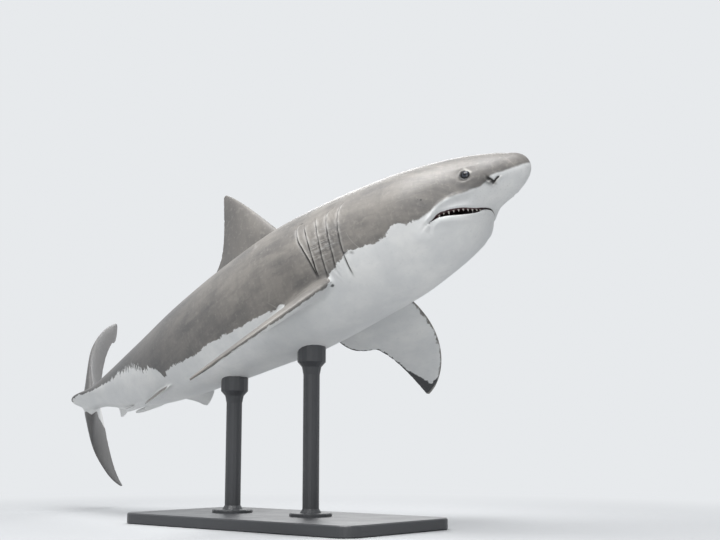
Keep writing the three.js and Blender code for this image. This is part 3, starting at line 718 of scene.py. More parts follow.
def cleft_net():
    """Rows along the head; each is a flat loop at the level of the cleft, swollen inside."""
    u = np.linspace(MOUTH_FRONT - CLEFT["ahead"], MOUTH_CORNER, 72)[:, None]
    level, gape = mouth_level(u), mouth_open(u)
    half = sections(u)[..., 2]
    across = np.sin(np.linspace(-np.pi / 2, np.pi / 2, 60))[None] * (half + CLEFT["past_skin"])
    deeper = ease((lip_width(u, level) - CLEFT["lip"] - np.abs(across)) / CLEFT["slope"])
    ahead = sections(u - CLEFT["wall"])
    jaw = ahead[..., 1] * np.sqrt(np.clip(1 - (across / ahead[..., 2]) ** 2, 0, 1))
    flesh = jaw + level - gape
    room_down = np.minimum(CLEFT["down"] * deeper, 0.7 * np.maximum(flesh, 0))
    top = place(u, across, level + gape + CLEFT["up"] * deeper)
    bottom = place(u, across, level - gape - room_down)
    return np.concatenate([top, bottom[:, ::-1]], 1)


cleft = cleft_net()
forms["mouth"] = object_from("mouth_form", *capped_tube(cleft))
print("cleft:", cleft.shape[:2])

# %% [markdown]
# ## One skin
#
# Body and fins are joined into one closed mesh with Blender's Boolean modifier, and the cleft
# is cut out. Each form carries its own number, so the seams can be found afterwards: they are
# the vertices between two numbers. Near a seam the skin is relaxed, each vertex moving
# towards the mean of its neighbours, which lays a soft fillet of flesh round every fin root.

# %% Join, cut and find the seams
def numbered(piece, number):
    """Gives all faces of a form the material number of its part, with blank slots to hold it."""
    for _ in parts:
        piece.data.materials.append(None)
    piece.data.polygons.foreach_set("material_index", [number] * len(piece.data.polygons))


def combined(base, tool, operation):
    """Joins the tool to the base or cuts it out of it; the tool is used up."""
    step = base.modifiers.new(operation, "BOOLEAN")
    step.operation, step.object, step.solver = operation, tool, "MANIFOLD"
    shown = base.evaluated_get(bpy.context.evaluated_depsgraph_get())
    mesh = bpy.data.meshes.new_from_object(shown)
    base.modifiers.clear()
    base.data = mesh
    bpy.data.objects.remove(tool)


numbered(body, 0)
for name, form in forms.items():
    numbered(form, parts.index(name))
for name, form in forms.items():
    combined(body, form, "DIFFERENCE" if name == "mouth" else "UNION")
print("joined:", len(body.data.vertices), "vertices,", len(body.data.polygons), "faces")

# %% Relax the skin near its seams
FILLET = [[0.24, 0.022], [0.27, 0.034], [0.33, 0.042], [0.55, 0.030], [0.60, 0.020],
          [0.72, 0.016], [0.80, 0.016], [0.86, 0.040], [0.92, 0.050]]
LIP_ROUND = 0.010
LONG_EDGE, MERGE, SLIVER = 0.0075, 0.0004, 0.0002
FINE_WITHIN = 1.3
MOUTH_NUMBER = parts.index("mouth")


def read(items, field, kind, width=1):
    """One field of all vertices, edges, corners or faces of a mesh."""
    values = np.empty(len(items) * width, kind)
    items.foreach_get(field, values)
    return values.reshape(-1, width) if width > 1 else values


def mesh_arrays(mesh):
    """Vertex places, the two ends of each edge, each corner's vertex and its face's number."""
    number = read(mesh.polygons, "material_index", int)
    corners_of_face = read(mesh.polygons, "loop_total", int)
    return (read(mesh.vertices, "co", float, 3), read(mesh.edges, "vertices", int, 2),
            read(mesh.loops, "vertex_index", int), np.repeat(number, corners_of_face))


def highest_round(count, corner, of_corner):
    """At each vertex, the highest value of the faces round it."""
    highest = np.zeros(count, int)
    np.maximum.at(highest, corner, of_corner)
    return highest


def seam_distance(points, ends, corner, inner, reach, steps):
    """Distance from the rim of the inner faces in units of reach, handed on along the edges."""
    count = len(points)
    on_rim = highest_round(count, corner, inner) & highest_round(count, corner, ~inner)
    a, b = ends.T
    length = np.linalg.norm(points[a] - points[b], axis=1) / (0.5 * (reach[a] + reach[b]))
    away = np.where(on_rim, 0.0, 9.0)
    for _ in range(steps):
        np.minimum.at(away, a, away[b] + length)
        np.minimum.at(away, b, away[a] + length)
    return away


def from_fin_roots(points, ends, corner, number, steps):
    """Distance from the roots of the fins, in units of the fillet's width at each station."""
    stations, widths = zip(*FILLET)
    on_fin = (number > 0) & (number != MOUTH_NUMBER)
    reach = np.interp(found(points)[0], stations, widths)
    return seam_distance(points, ends, corner, on_fin, reach, steps)


def relaxed(points, ends, weight, rounds):
    """Each round moves a vertex by its weight towards the mean of its neighbours."""
    a, b = ends.T
    count = np.bincount(ends.ravel(), minlength=len(points))[:, None]
    for _ in range(rounds):
        total = np.stack([
            np.bincount(a, points[b, k], len(points)) + np.bincount(b, points[a, k], len(points))
            for k in range(3)
        ], -1)
        points = points + weight[:, None] * (total / count - points)
    return points


def triangulated(mesh, fine_near):
    """Splits the long edges between marked points, merges points that almost meet, and cuts
    every face into triangles. Two faces on the same points are a flap with no inside, and go."""
    work = bmesh.new()
    work.from_mesh(mesh)
    near = [edge for edge in work.edges
            if edge.calc_length() > LONG_EDGE and all(fine_near[v.index] for v in edge.verts)]
    bmesh.ops.subdivide_edges(work, edges=near, cuts=1, use_grid_fill=True)
    bmesh.ops.remove_doubles(work, verts=work.verts[:], dist=MERGE)
    bmesh.ops.dissolve_degenerate(work, edges=work.edges[:], dist=SLIVER)
    bmesh.ops.triangulate(work, faces=work.faces[:])
    alike = {}
    for face in work.faces:
        alike.setdefault(frozenset(face.verts), []).append(face)
    flaps = [face for faces in alike.values() if len(faces) > 1 for face in faces]
    bmesh.ops.delete(work, geom=flaps, context="FACES")
    print("edges without two faces:", sum(len(edge.link_faces) != 2 for edge in work.edges))
    work.to_mesh(mesh)
    work.free()


triangulated(body.data, from_fin_roots(*mesh_arrays(body.data), steps=40) < FINE_WITHIN)
points, ends, corner, number = mesh_arrays(body.data)
away = from_fin_roots(points, ends, corner, number, steps=60)
points = relaxed(points, ends, 0.8 * ease(1 - away), rounds=34)
lip_reach = np.full(len(points), LIP_ROUND)
lips = seam_distance(points, ends, corner, number == MOUTH_NUMBER, lip_reach, steps=14)
points = relaxed(points, ends, 0.6 * ease(1 - lips), rounds=10)
body.data.vertices.foreach_set("co", points.ravel())
print("skin:", len(points), "vertices,", len(body.data.polygons), "triangles")

# %% [markdown]
# ## Where the colours lie
#
# The coat is dark above and white below with a ragged line between, and black under the tips
# of the breast fins. Painting it as an image would fix its sharpness. Instead each vertex keeps
# how far it lies inside a marking, in metres. The material adds fine noise to that distance
# and cuts it at zero, so that the edge stays ragged and crisp from near and far.

# %% Distances to the edges of the markings
COAT_LINE = smooth_curve([
    [0.000, 104], [0.009, 105], [0.028, 108], [0.038, 110], [0.047, 119], [0.054, 121.5],
    [0.065, 117], [0.076, 112], [0.085, 108.5], [0.091, 107.5], [0.098, 108], [0.105, 109.5],
    [0.112, 111.5], [0.128, 112.8], [0.142, 111.5], [0.158, 106.5], [0.167, 111],
    [0.180, 112.5], [0.194, 112], [0.208, 110.3], [0.228, 108.5], [0.237, 111], [0.247, 114],
    [0.254, 115.5], [0.261, 118.5], [0.265, 122], [0.268, 126], [0.290, 128], [0.316, 125],
    [0.343, 120.5], [0.408, 120], [0.478, 119.5], [0.504, 122.5], [0.569, 121], [0.580, 124],
    [0.588, 130], [0.596, 117], [0.609, 109], [0.650, 99], [0.667, 90.5], [0.692, 89],
    [0.737, 90.5], [0.800, 92.5], [0.860, 99], [0.910, 112], [1.030, 118],
])
SPOTS = [[0.2623, 126.2, 0.0085], [0.1170, 97.3, 0.0055], [0.1200, 96.2, 0.0030],
         [0.1362, 112.3, 0.0055], [0.1320, 113.0, 0.0045], [0.1385, 110.5, 0.0035],
         [0.2291, 108.0, 0.0070], [0.2420, 61.2, 0.0075], [0.2184, 57.5, 0.0050],
         [0.2839, 59.0, 0.0085], [0.3900, 74.0, 0.0050], [0.4700, 96.0, 0.0045]]
FAR_OUTSIDE = -0.2
TICK = (0.2291, 108.0), (0.2206, 109.8)
BROW_HIGHLIGHT = (0.0632, 73.0), (0.0578, 82.5)


def on_plane(points, plane):
    """Back, out and thickness of points in a paired fin's plane, by its three directions."""
    root, *directions = plane
    return [(points - root) @ direction / LENGTH for direction in directions]


def from_edge(back, out, edge):
    """Least distance to a fin's edge, over close-set points of it."""
    drawn = edge_at(edge, np.linspace(0, 1, 160))
    gap = np.hypot(back[:, None] - drawn[:, 0], out[:, None] - drawn[:, 1])
    return gap.min(1) * LENGTH


def body_angle(u, y, z):
    """Angle round the section, undoing skin_at; three passes take in the tail's keels."""
    angle = np.degrees(np.arctan2(-y, z))
    for _ in range(3):
        wide, tall = girth(u, angle)
        angle = np.degrees(np.arctan2(-y / np.maximum(wide, 1e-4), z / np.maximum(tall, 1e-4)))
    return angle, wide, tall


points, _, corner, number = mesh_arrays(body.data)
normals = read(body.data.vertex_normals, "vector", float, 3)
part = highest_round(len(points), corner, np.where(number == MOUTH_NUMBER, 0, number))
u, y, z = found(points)
angle, wide, tall = body_angle(u, y, z)
side = np.abs(angle)
mean_radius = 0.5 * (wide + tall) * LENGTH
arc = np.radians(side) * mean_radius
pale = np.radians(side - COAT_LINE(u)[:, 0]) * mean_radius
outside = (np.hypot(y / np.maximum(wide, 1e-4), z / np.maximum(tall, 1e-4)) - 1) * wide * LENGTH
cuff = 0.010 + 0.38 * np.maximum(u - 0.880, 0) * (z < 0)
on_tail = ease((u - 0.848) / 0.02) * ease((np.abs(z) - cuff) / 0.012)
pale = mix(pale, -0.05, on_tail)
fin_black = np.full(len(points), FAR_OUTSIDE)
flow = np.stack([u * LENGTH, arc, np.zeros_like(u)], -1)
for name, plane in PLANES.items():
    mine = part == parts.index(name)
    back, out, thick = on_plane(points[mine], plane)
    facing = normals[mine] @ plane[3]
    off_body = ease(outside[mine] / 0.045)
    pale[mine] = mix(pale[mine], np.clip(-0.15 * facing - 0.012, -0.05, 0.05), off_body)
    flow[mine] = mix(flow[mine], np.stack([back, out, thick], -1) * LENGTH, off_body[:, None])
    if "pectoral" in name:
        to_rear = from_edge(back, out, PECTORAL["trail"])
        to_lead = from_edge(back, out, PECTORAL["lead"])
        band = mix(0.0020, 0.0150, ease((out - 0.100) / 0.060)) * LENGTH
        to_tip = LENGTH * np.hypot(back - 0.1275, out - 0.1725)
        front_band = 0.034 * (1 - ease((to_tip - 0.12) / 0.07))
        under_side = np.max([band - to_rear, 0.090 - to_tip, front_band - to_lead], axis=0)
        pale[mine] = np.minimum(pale[mine], mix(0.1, to_lead - 0.010, off_body))
        fin_black[mine] = np.where(facing < 0.1, under_side, FAR_OUTSIDE)
on_body = outside < 0.02
slit_dark, slit_pale = np.zeros(len(points)), np.zeros(len(points))
for slit in range(len(SLITS)):
    behind = (u - slit_at(slit, side)) * LENGTH
    taper = slit_taper(slit, side)
    # Painted shade: the core darkens the skin down each slit's pit.
    core = within(behind, -0.0014, 0.0020, 0.0085, 0.0070)
    # Painted highlight: the rim lightens the rear edge of each gill flap.
    rim = within(behind, -0.0105, 0.0060, -0.0030, 0.0026)
    slit_dark = np.maximum(slit_dark, core * taper)
    slit_pale = np.maximum(slit_pale, rim * taper)
# A short dark tick runs off the first slit and is kept with the painted slit shade.
tick = 1 - ease((from_segment(u, side, *TICK) - 0.002) / 0.004)
slit_dark = np.maximum(slit_dark, 0.8 * tick) * on_body
slit_pale *= on_body
wrinkled = bump(u - 0.256, 0.020) * bump(side - 95, 13) * on_body
eye_ring = np.hypot(*beside(u, side, EYE["u"], EYE["angle"]))
# Painted highlight: a pale crescent on the brow above the eye.
brow = bump(from_segment(u, side, *BROW_HIGHLIGHT), 0.0065)
# Painted shade: the nostril mask darkens the pit, a soft halo on its rear side, and the crease
# below the streak.
along, across = nostril_frame(u, side)
nostril = ease(1.6 * np.max([bump(along, 0.0270) * bump(across, 0.0092),
                             0.42 * bump(along + 0.004, 0.034) * bump(across - 0.010, 0.020),
                             0.90 * bump(from_segment(u, side, *CREASE), 0.0066)], axis=0))
glint = np.maximum(bump(np.hypot(along + 0.003, across - 0.0085), 0.0052),
                   bump(from_segment(u, side, *STREAK), 0.0042))
calm = 1 - ease((u - 0.112) / 0.030)
gullet = highest_round(len(points), corner, number == MOUTH_NUMBER) * np.maximum(-outside, 0)
spot = np.max([size - np.hypot(*beside(u, side, at_u, at_angle))
               for at_u, at_angle, size in SPOTS], axis=0)
flames = bump(u - 0.650, 0.045) + 0.5 * bump(u - 0.720, 0.030)
snout = 1 - ease((u - 0.055) / 0.05)


def keep(mesh, **values):
    """Stores one value or one direction for each vertex under its name."""
    for name, value in values.items():
        kind, field = ("FLOAT_VECTOR", "vector") if value.ndim > 1 else ("FLOAT", "value")
        mesh.attributes.new(name, kind, "POINT").data.foreach_set(field, value.ravel())


keep(body.data, pale=pale, fin_black=fin_black, slit_dark=slit_dark, slit_pale=slit_pale,
     wrinkled=wrinkled, eye_ring=eye_ring, brow=brow, nostril=nostril, glint=glint, spot=spot,
     flames=flames, snout=snout, calm=calm, gullet=gullet, flow=flow)
print("white share of the skin:", round(float((pale > 0).mean()), 2))

# %% [markdown]
# ## Finishes
#
# The materials are made of nodes. Effects that come back in several of them are groups: a
# ragged edge, a fine grain, and thin scratches. A group only puts out masks and heights; the
# shader stays in the material, where its plain numbers are set.

# %% Helpers for node trees
def fill(tree, node, inputs):
    """Sets inputs of a node, by name or number, to plain values or links them to sockets."""
    for name, value in inputs.items():
        if isinstance(value, bpy.types.NodeSocket):
            tree.links.new(value, node.inputs[name])
        else:
            node.inputs[name].default_value = value


def add(tree, kind, into=None, **settings):
    """A new node with its settings and its inputs."""
    made = tree.nodes.new(kind)
    for name, value in settings.items():
        setattr(made, name, value)
    fill(tree, made, into or {})
    return made


def use(tree, group, **values):
    """A group placed in a tree, with its inputs."""
    return add(tree, "ShaderNodeGroup", values, node_tree=group)


def calc(tree, operation, *values):
    """A Math node's result for up to three values or sockets."""
    return add(tree, "ShaderNodeMath", dict(enumerate(values)), operation=operation).outputs[0]


def times(tree, first, second):
    """The product of two values or sockets."""
    return calc(tree, "MULTIPLY", first, second)


def soft_step(tree, value, start, end, low=0.0, high=1.0):
    """Runs softly from low to high as the value goes from start to end."""
    return add(tree, "ShaderNodeMapRange", {"Value": value, "From Min": start, "From Max": end,
               "To Min": low, "To Max": high}, interpolation_type="SMOOTHSTEP").outputs[0]


def blend(tree, share, first, second):
    """Colour first blended with colour second by a share."""
    first, second = ((*c, 1) if isinstance(c, tuple) else c for c in (first, second))
    made = add(tree, "ShaderNodeMix", data_type="RGBA")
    fill(tree, made, {0: share, 6: first, 7: second})
    return made.outputs[2]


def layered(tree, colour, layers):
    """Lays colours over a first one in their order, each by its own share."""
    for share, over in layers:
        colour = blend(tree, share, colour, over)
    return colour


def noise(tree, where, scale, detail=3.0, rough=0.5, stretch=None):
    """Cloudy noise between 0 and 1; stretch sets its size along three directions."""
    if stretch:
        where = add(tree, "ShaderNodeMapping", {"Vector": where, "Scale": stretch}).outputs[0]
    return add(tree, "ShaderNodeTexNoise", {"Vector": where, "Scale": scale, "Detail": detail,
               "Roughness": rough}).outputs["Fac"]


def raised(tree, height, strength, distance):
    """The normal of a surface that a height lifts by up to the distance, in metres."""
    return add(tree, "ShaderNodeBump", {"Height": height, "Strength": strength,
               "Distance": distance}).outputs[0]


def attribute(tree, name, output="Fac"):
    """A value kept on the mesh."""
    return add(tree, "ShaderNodeAttribute", attribute_name=name).outputs[output]


def group_of(name, gives, **takes):
    """An empty group that takes a place and named numbers, and gives named masks or heights."""
    tree = bpy.data.node_groups.new(name, "ShaderNodeTree")
    tree.interface.new_socket("Where", in_out="INPUT", socket_type="NodeSocketVector")
    for label, value in takes.items():
        socket = tree.interface.new_socket(label, in_out="INPUT", socket_type="NodeSocketFloat")
        socket.default_value = value
    for label in gives:
        tree.interface.new_socket(label, in_out="OUTPUT", socket_type="NodeSocketFloat")
    return tree, tree.nodes.new("NodeGroupInput").outputs, tree.nodes.new("NodeGroupOutput")


# %% The ragged edge, the grain and the scratches
ragged, given, result = group_of("ragged_edge", ["Mask"], Distance=0.0, Teeth=0.02, Scale=30.0,
                                 Softness=0.002)
teeth_noise = noise(ragged, given["Where"], given["Scale"], 6.0, 0.72)
both_ways = calc(ragged, "SUBTRACT", teeth_noise, 0.5)
shift = times(ragged, both_ways, times(ragged, given["Teeth"], 2.0))
edge = calc(ragged, "DIVIDE", calc(ragged, "ADD", given["Distance"], shift), given["Softness"])
fill(ragged, result, {"Mask": soft_step(ragged, edge, -1.0, 1.0)})

grain, given, result = group_of("grain", ["Height", "Mottle"], Fine=900.0, Coarse=60.0)
fine = noise(grain, given["Where"], given["Fine"], 2.0, 0.6)
coarse = noise(grain, given["Where"], given["Coarse"], 4.0, 0.55)
height = calc(grain, "ADD", times(grain, fine, 0.45), times(grain, coarse, 0.55))
fill(grain, result, {"Height": height, "Mottle": coarse})

scratches, given, result = group_of("scratches", ["Mask"], Scale=5.0, Fewness=0.6)
loops = noise(scratches, given["Where"], given["Scale"], 1.0, 0.3)
line = calc(scratches, "ABSOLUTE", calc(scratches, "SUBTRACT", loops, 0.5))
patches = noise(scratches, given["Where"], 3.0, 1.0)
kept = soft_step(scratches, patches, given["Fewness"],
                 calc(scratches, "ADD", given["Fewness"], 0.06))
thin = soft_step(scratches, line, 0.0, 0.0045, 1.0, 0.0)
fill(scratches, result, {"Mask": times(scratches, thin, kept)})
print("groups:", [g.name for g in bpy.data.node_groups])

# %% [markdown]
# ## The skin's finish
#
# Shark skin is satin: millions of tiny scales, set like tiles, that feel like fine sandpaper.
# The back is a warm slate grey with clouds and old scratches, darker along the ridge, and the
# belly is an off-white. Bump gives the scales, and roughness keeps the highlights broad.

# %% Material of the hide
GUM_DARK, GUM_PINK = (0.045, 0.022, 0.026), (0.120, 0.058, 0.062)
EYELID_AND_SHADE, GULLET = (0.0220, 0.0330), (0.0030, 0.0065)


def new_material(name):
    """A material, its tree, its Principled shader, and the object's own coordinates."""
    material = bpy.data.materials.new(name)
    material.use_nodes = True
    tree = material.node_tree
    where = add(tree, "ShaderNodeTexCoord").outputs["Object"]
    return material, tree, tree.nodes["Principled BSDF"], where


def inside_mark(tree, where, distance, teeth, scale, softness=0.003):
    """The ragged mask of a marking from the distance inside it."""
    return use(tree, ragged, Where=where, Distance=distance, Teeth=teeth, Scale=scale,
               Softness=softness).outputs["Mask"]


hide, tree, shader, where = new_material("shark_hide")
flow_at = attribute(tree, "flow", "Vector")
along_body, round_body, _ = add(tree, "ShaderNodeSeparateXYZ", {0: flow_at}).outputs
skin_grain = use(tree, grain, Where=where, Fine=620.0, Coarse=46.0).outputs
mottle = skin_grain["Mottle"]
clouds = noise(tree, where, 4.2, 5.0, 0.6)
drift = noise(tree, flow_at, 1.0, 6.0, 0.62, stretch=(3.2, 12.0, 12.0))
streaks = noise(tree, flow_at, 1.0, 4.0, 0.65, stretch=(34.0, 5.0, 5.0))
combs = noise(tree, flow_at, 1.0, 3.0, 0.7, stretch=(58.0, 5.0, 5.0))
folds = noise(tree, flow_at, 1.0, 3.0, 0.6, stretch=(9.0, 62.0, 9.0))
flames, calm = attribute(tree, "flames"), attribute(tree, "calm")
comb_edge = times(tree, times(tree, calc(tree, "SUBTRACT", combs, 0.5), 0.20), flames)
white_coat = inside_mark(tree, where, calc(tree, "ADD", attribute(tree, "pale"), comb_edge),
                         soft_step(tree, calm, 0.0, 1.0, 0.036, 0.008), 15.0,
                         soft_step(tree, calm, 0.0, 1.0, 0.003, 0.007))
black_tip = inside_mark(tree, where, attribute(tree, "fin_black"), 0.022, 42.0)
spots = inside_mark(tree, where, attribute(tree, "spot"), 0.005, 70.0)
marks = use(tree, scratches, Where=where, Scale=2.6, Fewness=0.56).outputs["Mask"]
pores = add(tree, "ShaderNodeTexVoronoi", {"Vector": where, "Scale": 105.0}).outputs["Distance"]
pore = times(tree, soft_step(tree, pores, 0.10, 0.20, 1.0, 0.0), attribute(tree, "snout"))
wrinkled = attribute(tree, "wrinkled")
# A dark ring round the eye: partly dark lid skin, partly painted shade round the sunk eye and over
# its raised rim.
lid_and_shade = soft_step(tree, attribute(tree, "eye_ring"), *EYELID_AND_SHADE, 0.95, 0.0)
gullet = soft_step(tree, attribute(tree, "gullet"), *GULLET)

# From here on each layer is a share and a colour, from the broad ones to the fine ones.
grey = layered(tree, (0.132, 0.125, 0.118), [
    (soft_step(tree, clouds, 0.30, 0.72), (0.222, 0.207, 0.189)),
    (soft_step(tree, drift, 0.44, 0.66, 0.0, 0.60), (0.255, 0.238, 0.214)),
    (soft_step(tree, drift, 0.46, 0.30, 0.0, 0.55), (0.098, 0.096, 0.096)),
    (soft_step(tree, streaks, 0.46, 0.72, 0.0, 0.22), (0.100, 0.097, 0.095)),
    (soft_step(tree, round_body, 0.02, 0.30, 0.35, 0.0), (0.120, 0.114, 0.108)),
    (soft_step(tree, mottle, 0.52, 0.72, 0.0, 0.42), (0.285, 0.268, 0.244)),
    (soft_step(tree, along_body, 1.5, 3.1, 0.0, 0.50), (0.082, 0.086, 0.094)),
    (times(tree, marks, 0.50), (0.34, 0.325, 0.305)),
])
white = layered(tree, (0.640, 0.648, 0.645), [
    (soft_step(tree, clouds, 0.35, 0.75), (0.770, 0.770, 0.752)),
    (soft_step(tree, mottle, 0.56, 0.80, 0.0, 0.30), (0.50, 0.515, 0.52)),
])
coat = layered(tree, grey, [
    (white_coat, white),
    (times(tree, black_tip, white_coat), (0.030, 0.031, 0.034)),
    (times(tree, spots, 0.9), (0.040, 0.040, 0.042)),
    (times(tree, pore, 0.36), (0.055, 0.052, 0.050)),
    # Painted highlight and shade: the wrinkles are pale where the fold noise raises them and dark
    # where it sinks.
    (times(tree, soft_step(tree, folds, 0.53, 0.60, 0.0, 0.42), wrinkled), (0.42, 0.42, 0.41)),
    (times(tree, soft_step(tree, folds, 0.47, 0.40, 0.0, 0.55), wrinkled), (0.050, 0.048, 0.048)),
    # painted highlight along the rims of the gill flaps
    (times(tree, attribute(tree, "slit_pale"), 0.30), (0.43, 0.42, 0.40)),
    # dark lid skin and painted shade round the eye
    (lid_and_shade, (0.034, 0.033, 0.033)),
    # painted highlight on the brow
    (times(tree, attribute(tree, "brow"), 0.75), (0.50, 0.48, 0.44)),
    # painted shade down the gill slits, with the dark tick
    (times(tree, attribute(tree, "slit_dark"), 0.98), (0.010, 0.009, 0.009)),
    # painted shade in and round the nostril
    (times(tree, attribute(tree, "nostril"), 0.98), (0.012, 0.011, 0.011)),
    (times(tree, attribute(tree, "glint"), 0.75), (0.70, 0.69, 0.66)),
    (gullet, blend(tree, mottle, GUM_DARK, GUM_PINK)),
])
scales = calc(tree, "ADD", times(tree, skin_grain["Height"], 0.7), times(tree, drift, 0.5))
scales = calc(tree, "SUBTRACT", scales, times(tree, pore, 0.6))
scales = calc(tree, "SUBTRACT", scales, times(tree, marks, 0.3))
scales = calc(tree, "ADD", scales, times(tree, folds, times(tree, wrinkled, 4.0)))
fill(tree, shader, {
    "Base Color": coat, "Roughness": soft_step(tree, clouds, 0.2, 0.8, 0.40, 0.54),
    "Specular IOR Level": 0.42, "Coat Weight": 0.10, "Coat Roughness": 0.32,
    "Normal": raised(tree, scales, 0.55, 0.0022),
})

flesh, tree, shader, where = new_material("mouth_flesh")
wet = use(tree, grain, Where=where, Fine=260.0, Coarse=38.0).outputs
fill(tree, shader, {"Base Color": blend(tree, wet["Mottle"], GUM_DARK, GUM_PINK),
                    "Roughness": 0.30, "Normal": raised(tree, wet["Height"], 0.4, 0.002)})

body.data.materials.clear()
body.data.materials.append(hide)
body.data.polygons.foreach_set("material_index", np.zeros(len(body.data.polygons), int))
body.data.shade_smooth()
body.name = body.data.name = "shark_skin"
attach(body, "root")
FLESH_NODES = [node for node in frame["nodes"] if not node.startswith(("stand_", "eye_"))]
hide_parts(*FLESH_NODES)
print("the skin stands for", FLESH_NODES)

# %% [markdown]
# ## The eyes
#
# A white shark's eye looks black, yet it has a dark slate iris round a round pupil. In a museum
# model it is a glass half ball. It is turned from a profile here, with the clear bulge of the
# cornea in front, and the angle from its axis is kept for the iris.

# %% Turn the eyeballs
CORNEA = 0.045
PUPIL_EDGE, IRIS_EDGE = (0.26, 0.29), (0.50, 0.60)


def eyeball(side_sign):
    """A ball turned about its axis: radius r(1 + bulge), with the bulge near the pole only."""
    y_eye, z_eye = skin_at(EYE["u"], EYE["angle"])
    inward = (abs(y_eye) - EYE["depth"]) / abs(y_eye)
    centre = place(EYE["u"], y_eye * inward * side_sign, z_eye * inward)
    axis = place(EYE["u"] - 0.0012, y_eye * side_sign, z_eye + 0.0006) - centre
    axis /= np.linalg.norm(axis)
    across = np.cross(axis, [0, 0, 1.0])
    across /= np.linalg.norm(across)
    over = np.cross(across, axis)
    polar = np.radians(np.linspace(0, 180, 46))[1:-1, None]
    turn = once_round(56)
    size = EYE["radius"] * LENGTH
    radius = size * (1 + CORNEA * bump(polar, 0.42))
    ring = np.cos(turn)[..., None] * across + np.sin(turn)[..., None] * over
    points = centre + radius[..., None] * (np.sin(polar)[..., None] * ring
                                           + np.cos(polar)[..., None] * axis)
    ball = tube(points, centre + axis * size * (1 + CORNEA), centre - axis * size)
    gaze = np.concatenate([np.broadcast_to(polar, points.shape[:2]).ravel(), [0, np.pi]])
    return ball, gaze


glass, tree, shader, where = new_material("glass_eye")
gaze_at = attribute(tree, "gaze")
iris = blend(tree, noise(tree, where, 420.0, 3.0), (0.012, 0.014, 0.020), (0.050, 0.056, 0.070))
iris = blend(tree, soft_step(tree, gaze_at, *PUPIL_EDGE), (0.003, 0.003, 0.004), iris)
iris = blend(tree, soft_step(tree, gaze_at, *IRIS_EDGE), iris, (0.012, 0.012, 0.013))
fill(tree, shader, {"Base Color": iris, "Roughness": 0.09, "Specular IOR Level": 0.22,
                    "Coat Weight": 0.12, "Coat Roughness": 0.04})
for node, sign in (("eye_right", 1), ("eye_left", -1)):
    ball, gaze = eyeball(sign)
    eye = object_from("glass_" + node, *ball)
    keep(eye.data, gaze=gaze)
    eye.data.materials.append(glass)
    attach(eye, "root")
    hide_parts(node)
eye_size, eye_depth = 2000 * EYE["radius"] * LENGTH, 1000 * EYE["depth"] * LENGTH
print("eyes of", round(eye_size), "mm, set", round(eye_depth), "mm deep")

# %% [markdown]
# ## Gums and teeth
#
# Teeth grow in rows from the gums just inside the lips. Each is a flat triangle with a sharp
# sawn edge: broad above, narrow below. The gum is a tube along the lip's own path, and every
# tooth stands on it, its root sunk in the flesh. All teeth of a jaw are worked out at once.

# %% The path of the lips
GUMS = (("gum_upper", 1, 0.0046, 0.0016, 0.0010), ("gum_lower", -1, 0.0046, 0.0014, 0.0006))
TEETH = (("teeth_upper", 1, 12, 0.0042, 0.0042, 0.0044, 0.0006),
         ("teeth_lower", -1, 11, 0.0050, 0.0026, 0.0030, 0.0004))
TOOTH_TIP = 0.00004


def lip_front(sign):
    """The station where a lip meets the middle of the chin: found by bisection."""
    low, high = MOUTH_FRONT - 0.010, MOUTH_FRONT + 0.014
    for _ in range(30):
        u = 0.5 * (low + high)
        under = sections(u)[1]
        level = mouth_level(u) + sign * mouth_open(u)
        low, high = (u, high) if under < -level else (low, u)
    return high


def lip_path(sign, w, inset):
    """(u, y, level) along a lip for w from -1 to 1: u grows with w squared, y follows the skin."""
    front = lip_front(sign) + inset * 1.9
    u = front + (MOUTH_CORNER - front) * w ** 2
    level = mouth_level(u) + sign * mouth_open(u)
    width = np.maximum(lip_width(u - inset * 0.8 * np.exp(-np.abs(w) * 4), level) - inset, 0)
    first = np.abs(w) / (np.abs(w) + 0.02)
    return u, np.sign(w) * width * first, level


def gum_net(sign, inset, radius, rise):
    """A tube of a round section along the lip path, thinner towards the corners."""
    w = np.linspace(-0.93, 0.93, 90)[:, None]
    u, y, level = lip_path(sign, w, inset)
    turn = once_round(20)
    du, dy = np.gradient(u, axis=0), np.gradient(y, axis=0)
    size = np.hypot(du, dy)
    out_u, out_y = -np.abs(dy) / size, np.sign(w) * np.abs(du) / size
    thick = radius * (1 - 0.45 * np.abs(w) ** 2) * mix(0.6, 1, ease(np.abs(w) / 0.35))
    ripple = 1 + 0.07 * np.sin(w * 70)
    return place(u + out_u * thick * np.cos(turn), y + out_y * thick * np.cos(turn),
                 level + sign * rise + thick * ripple * np.sin(turn))


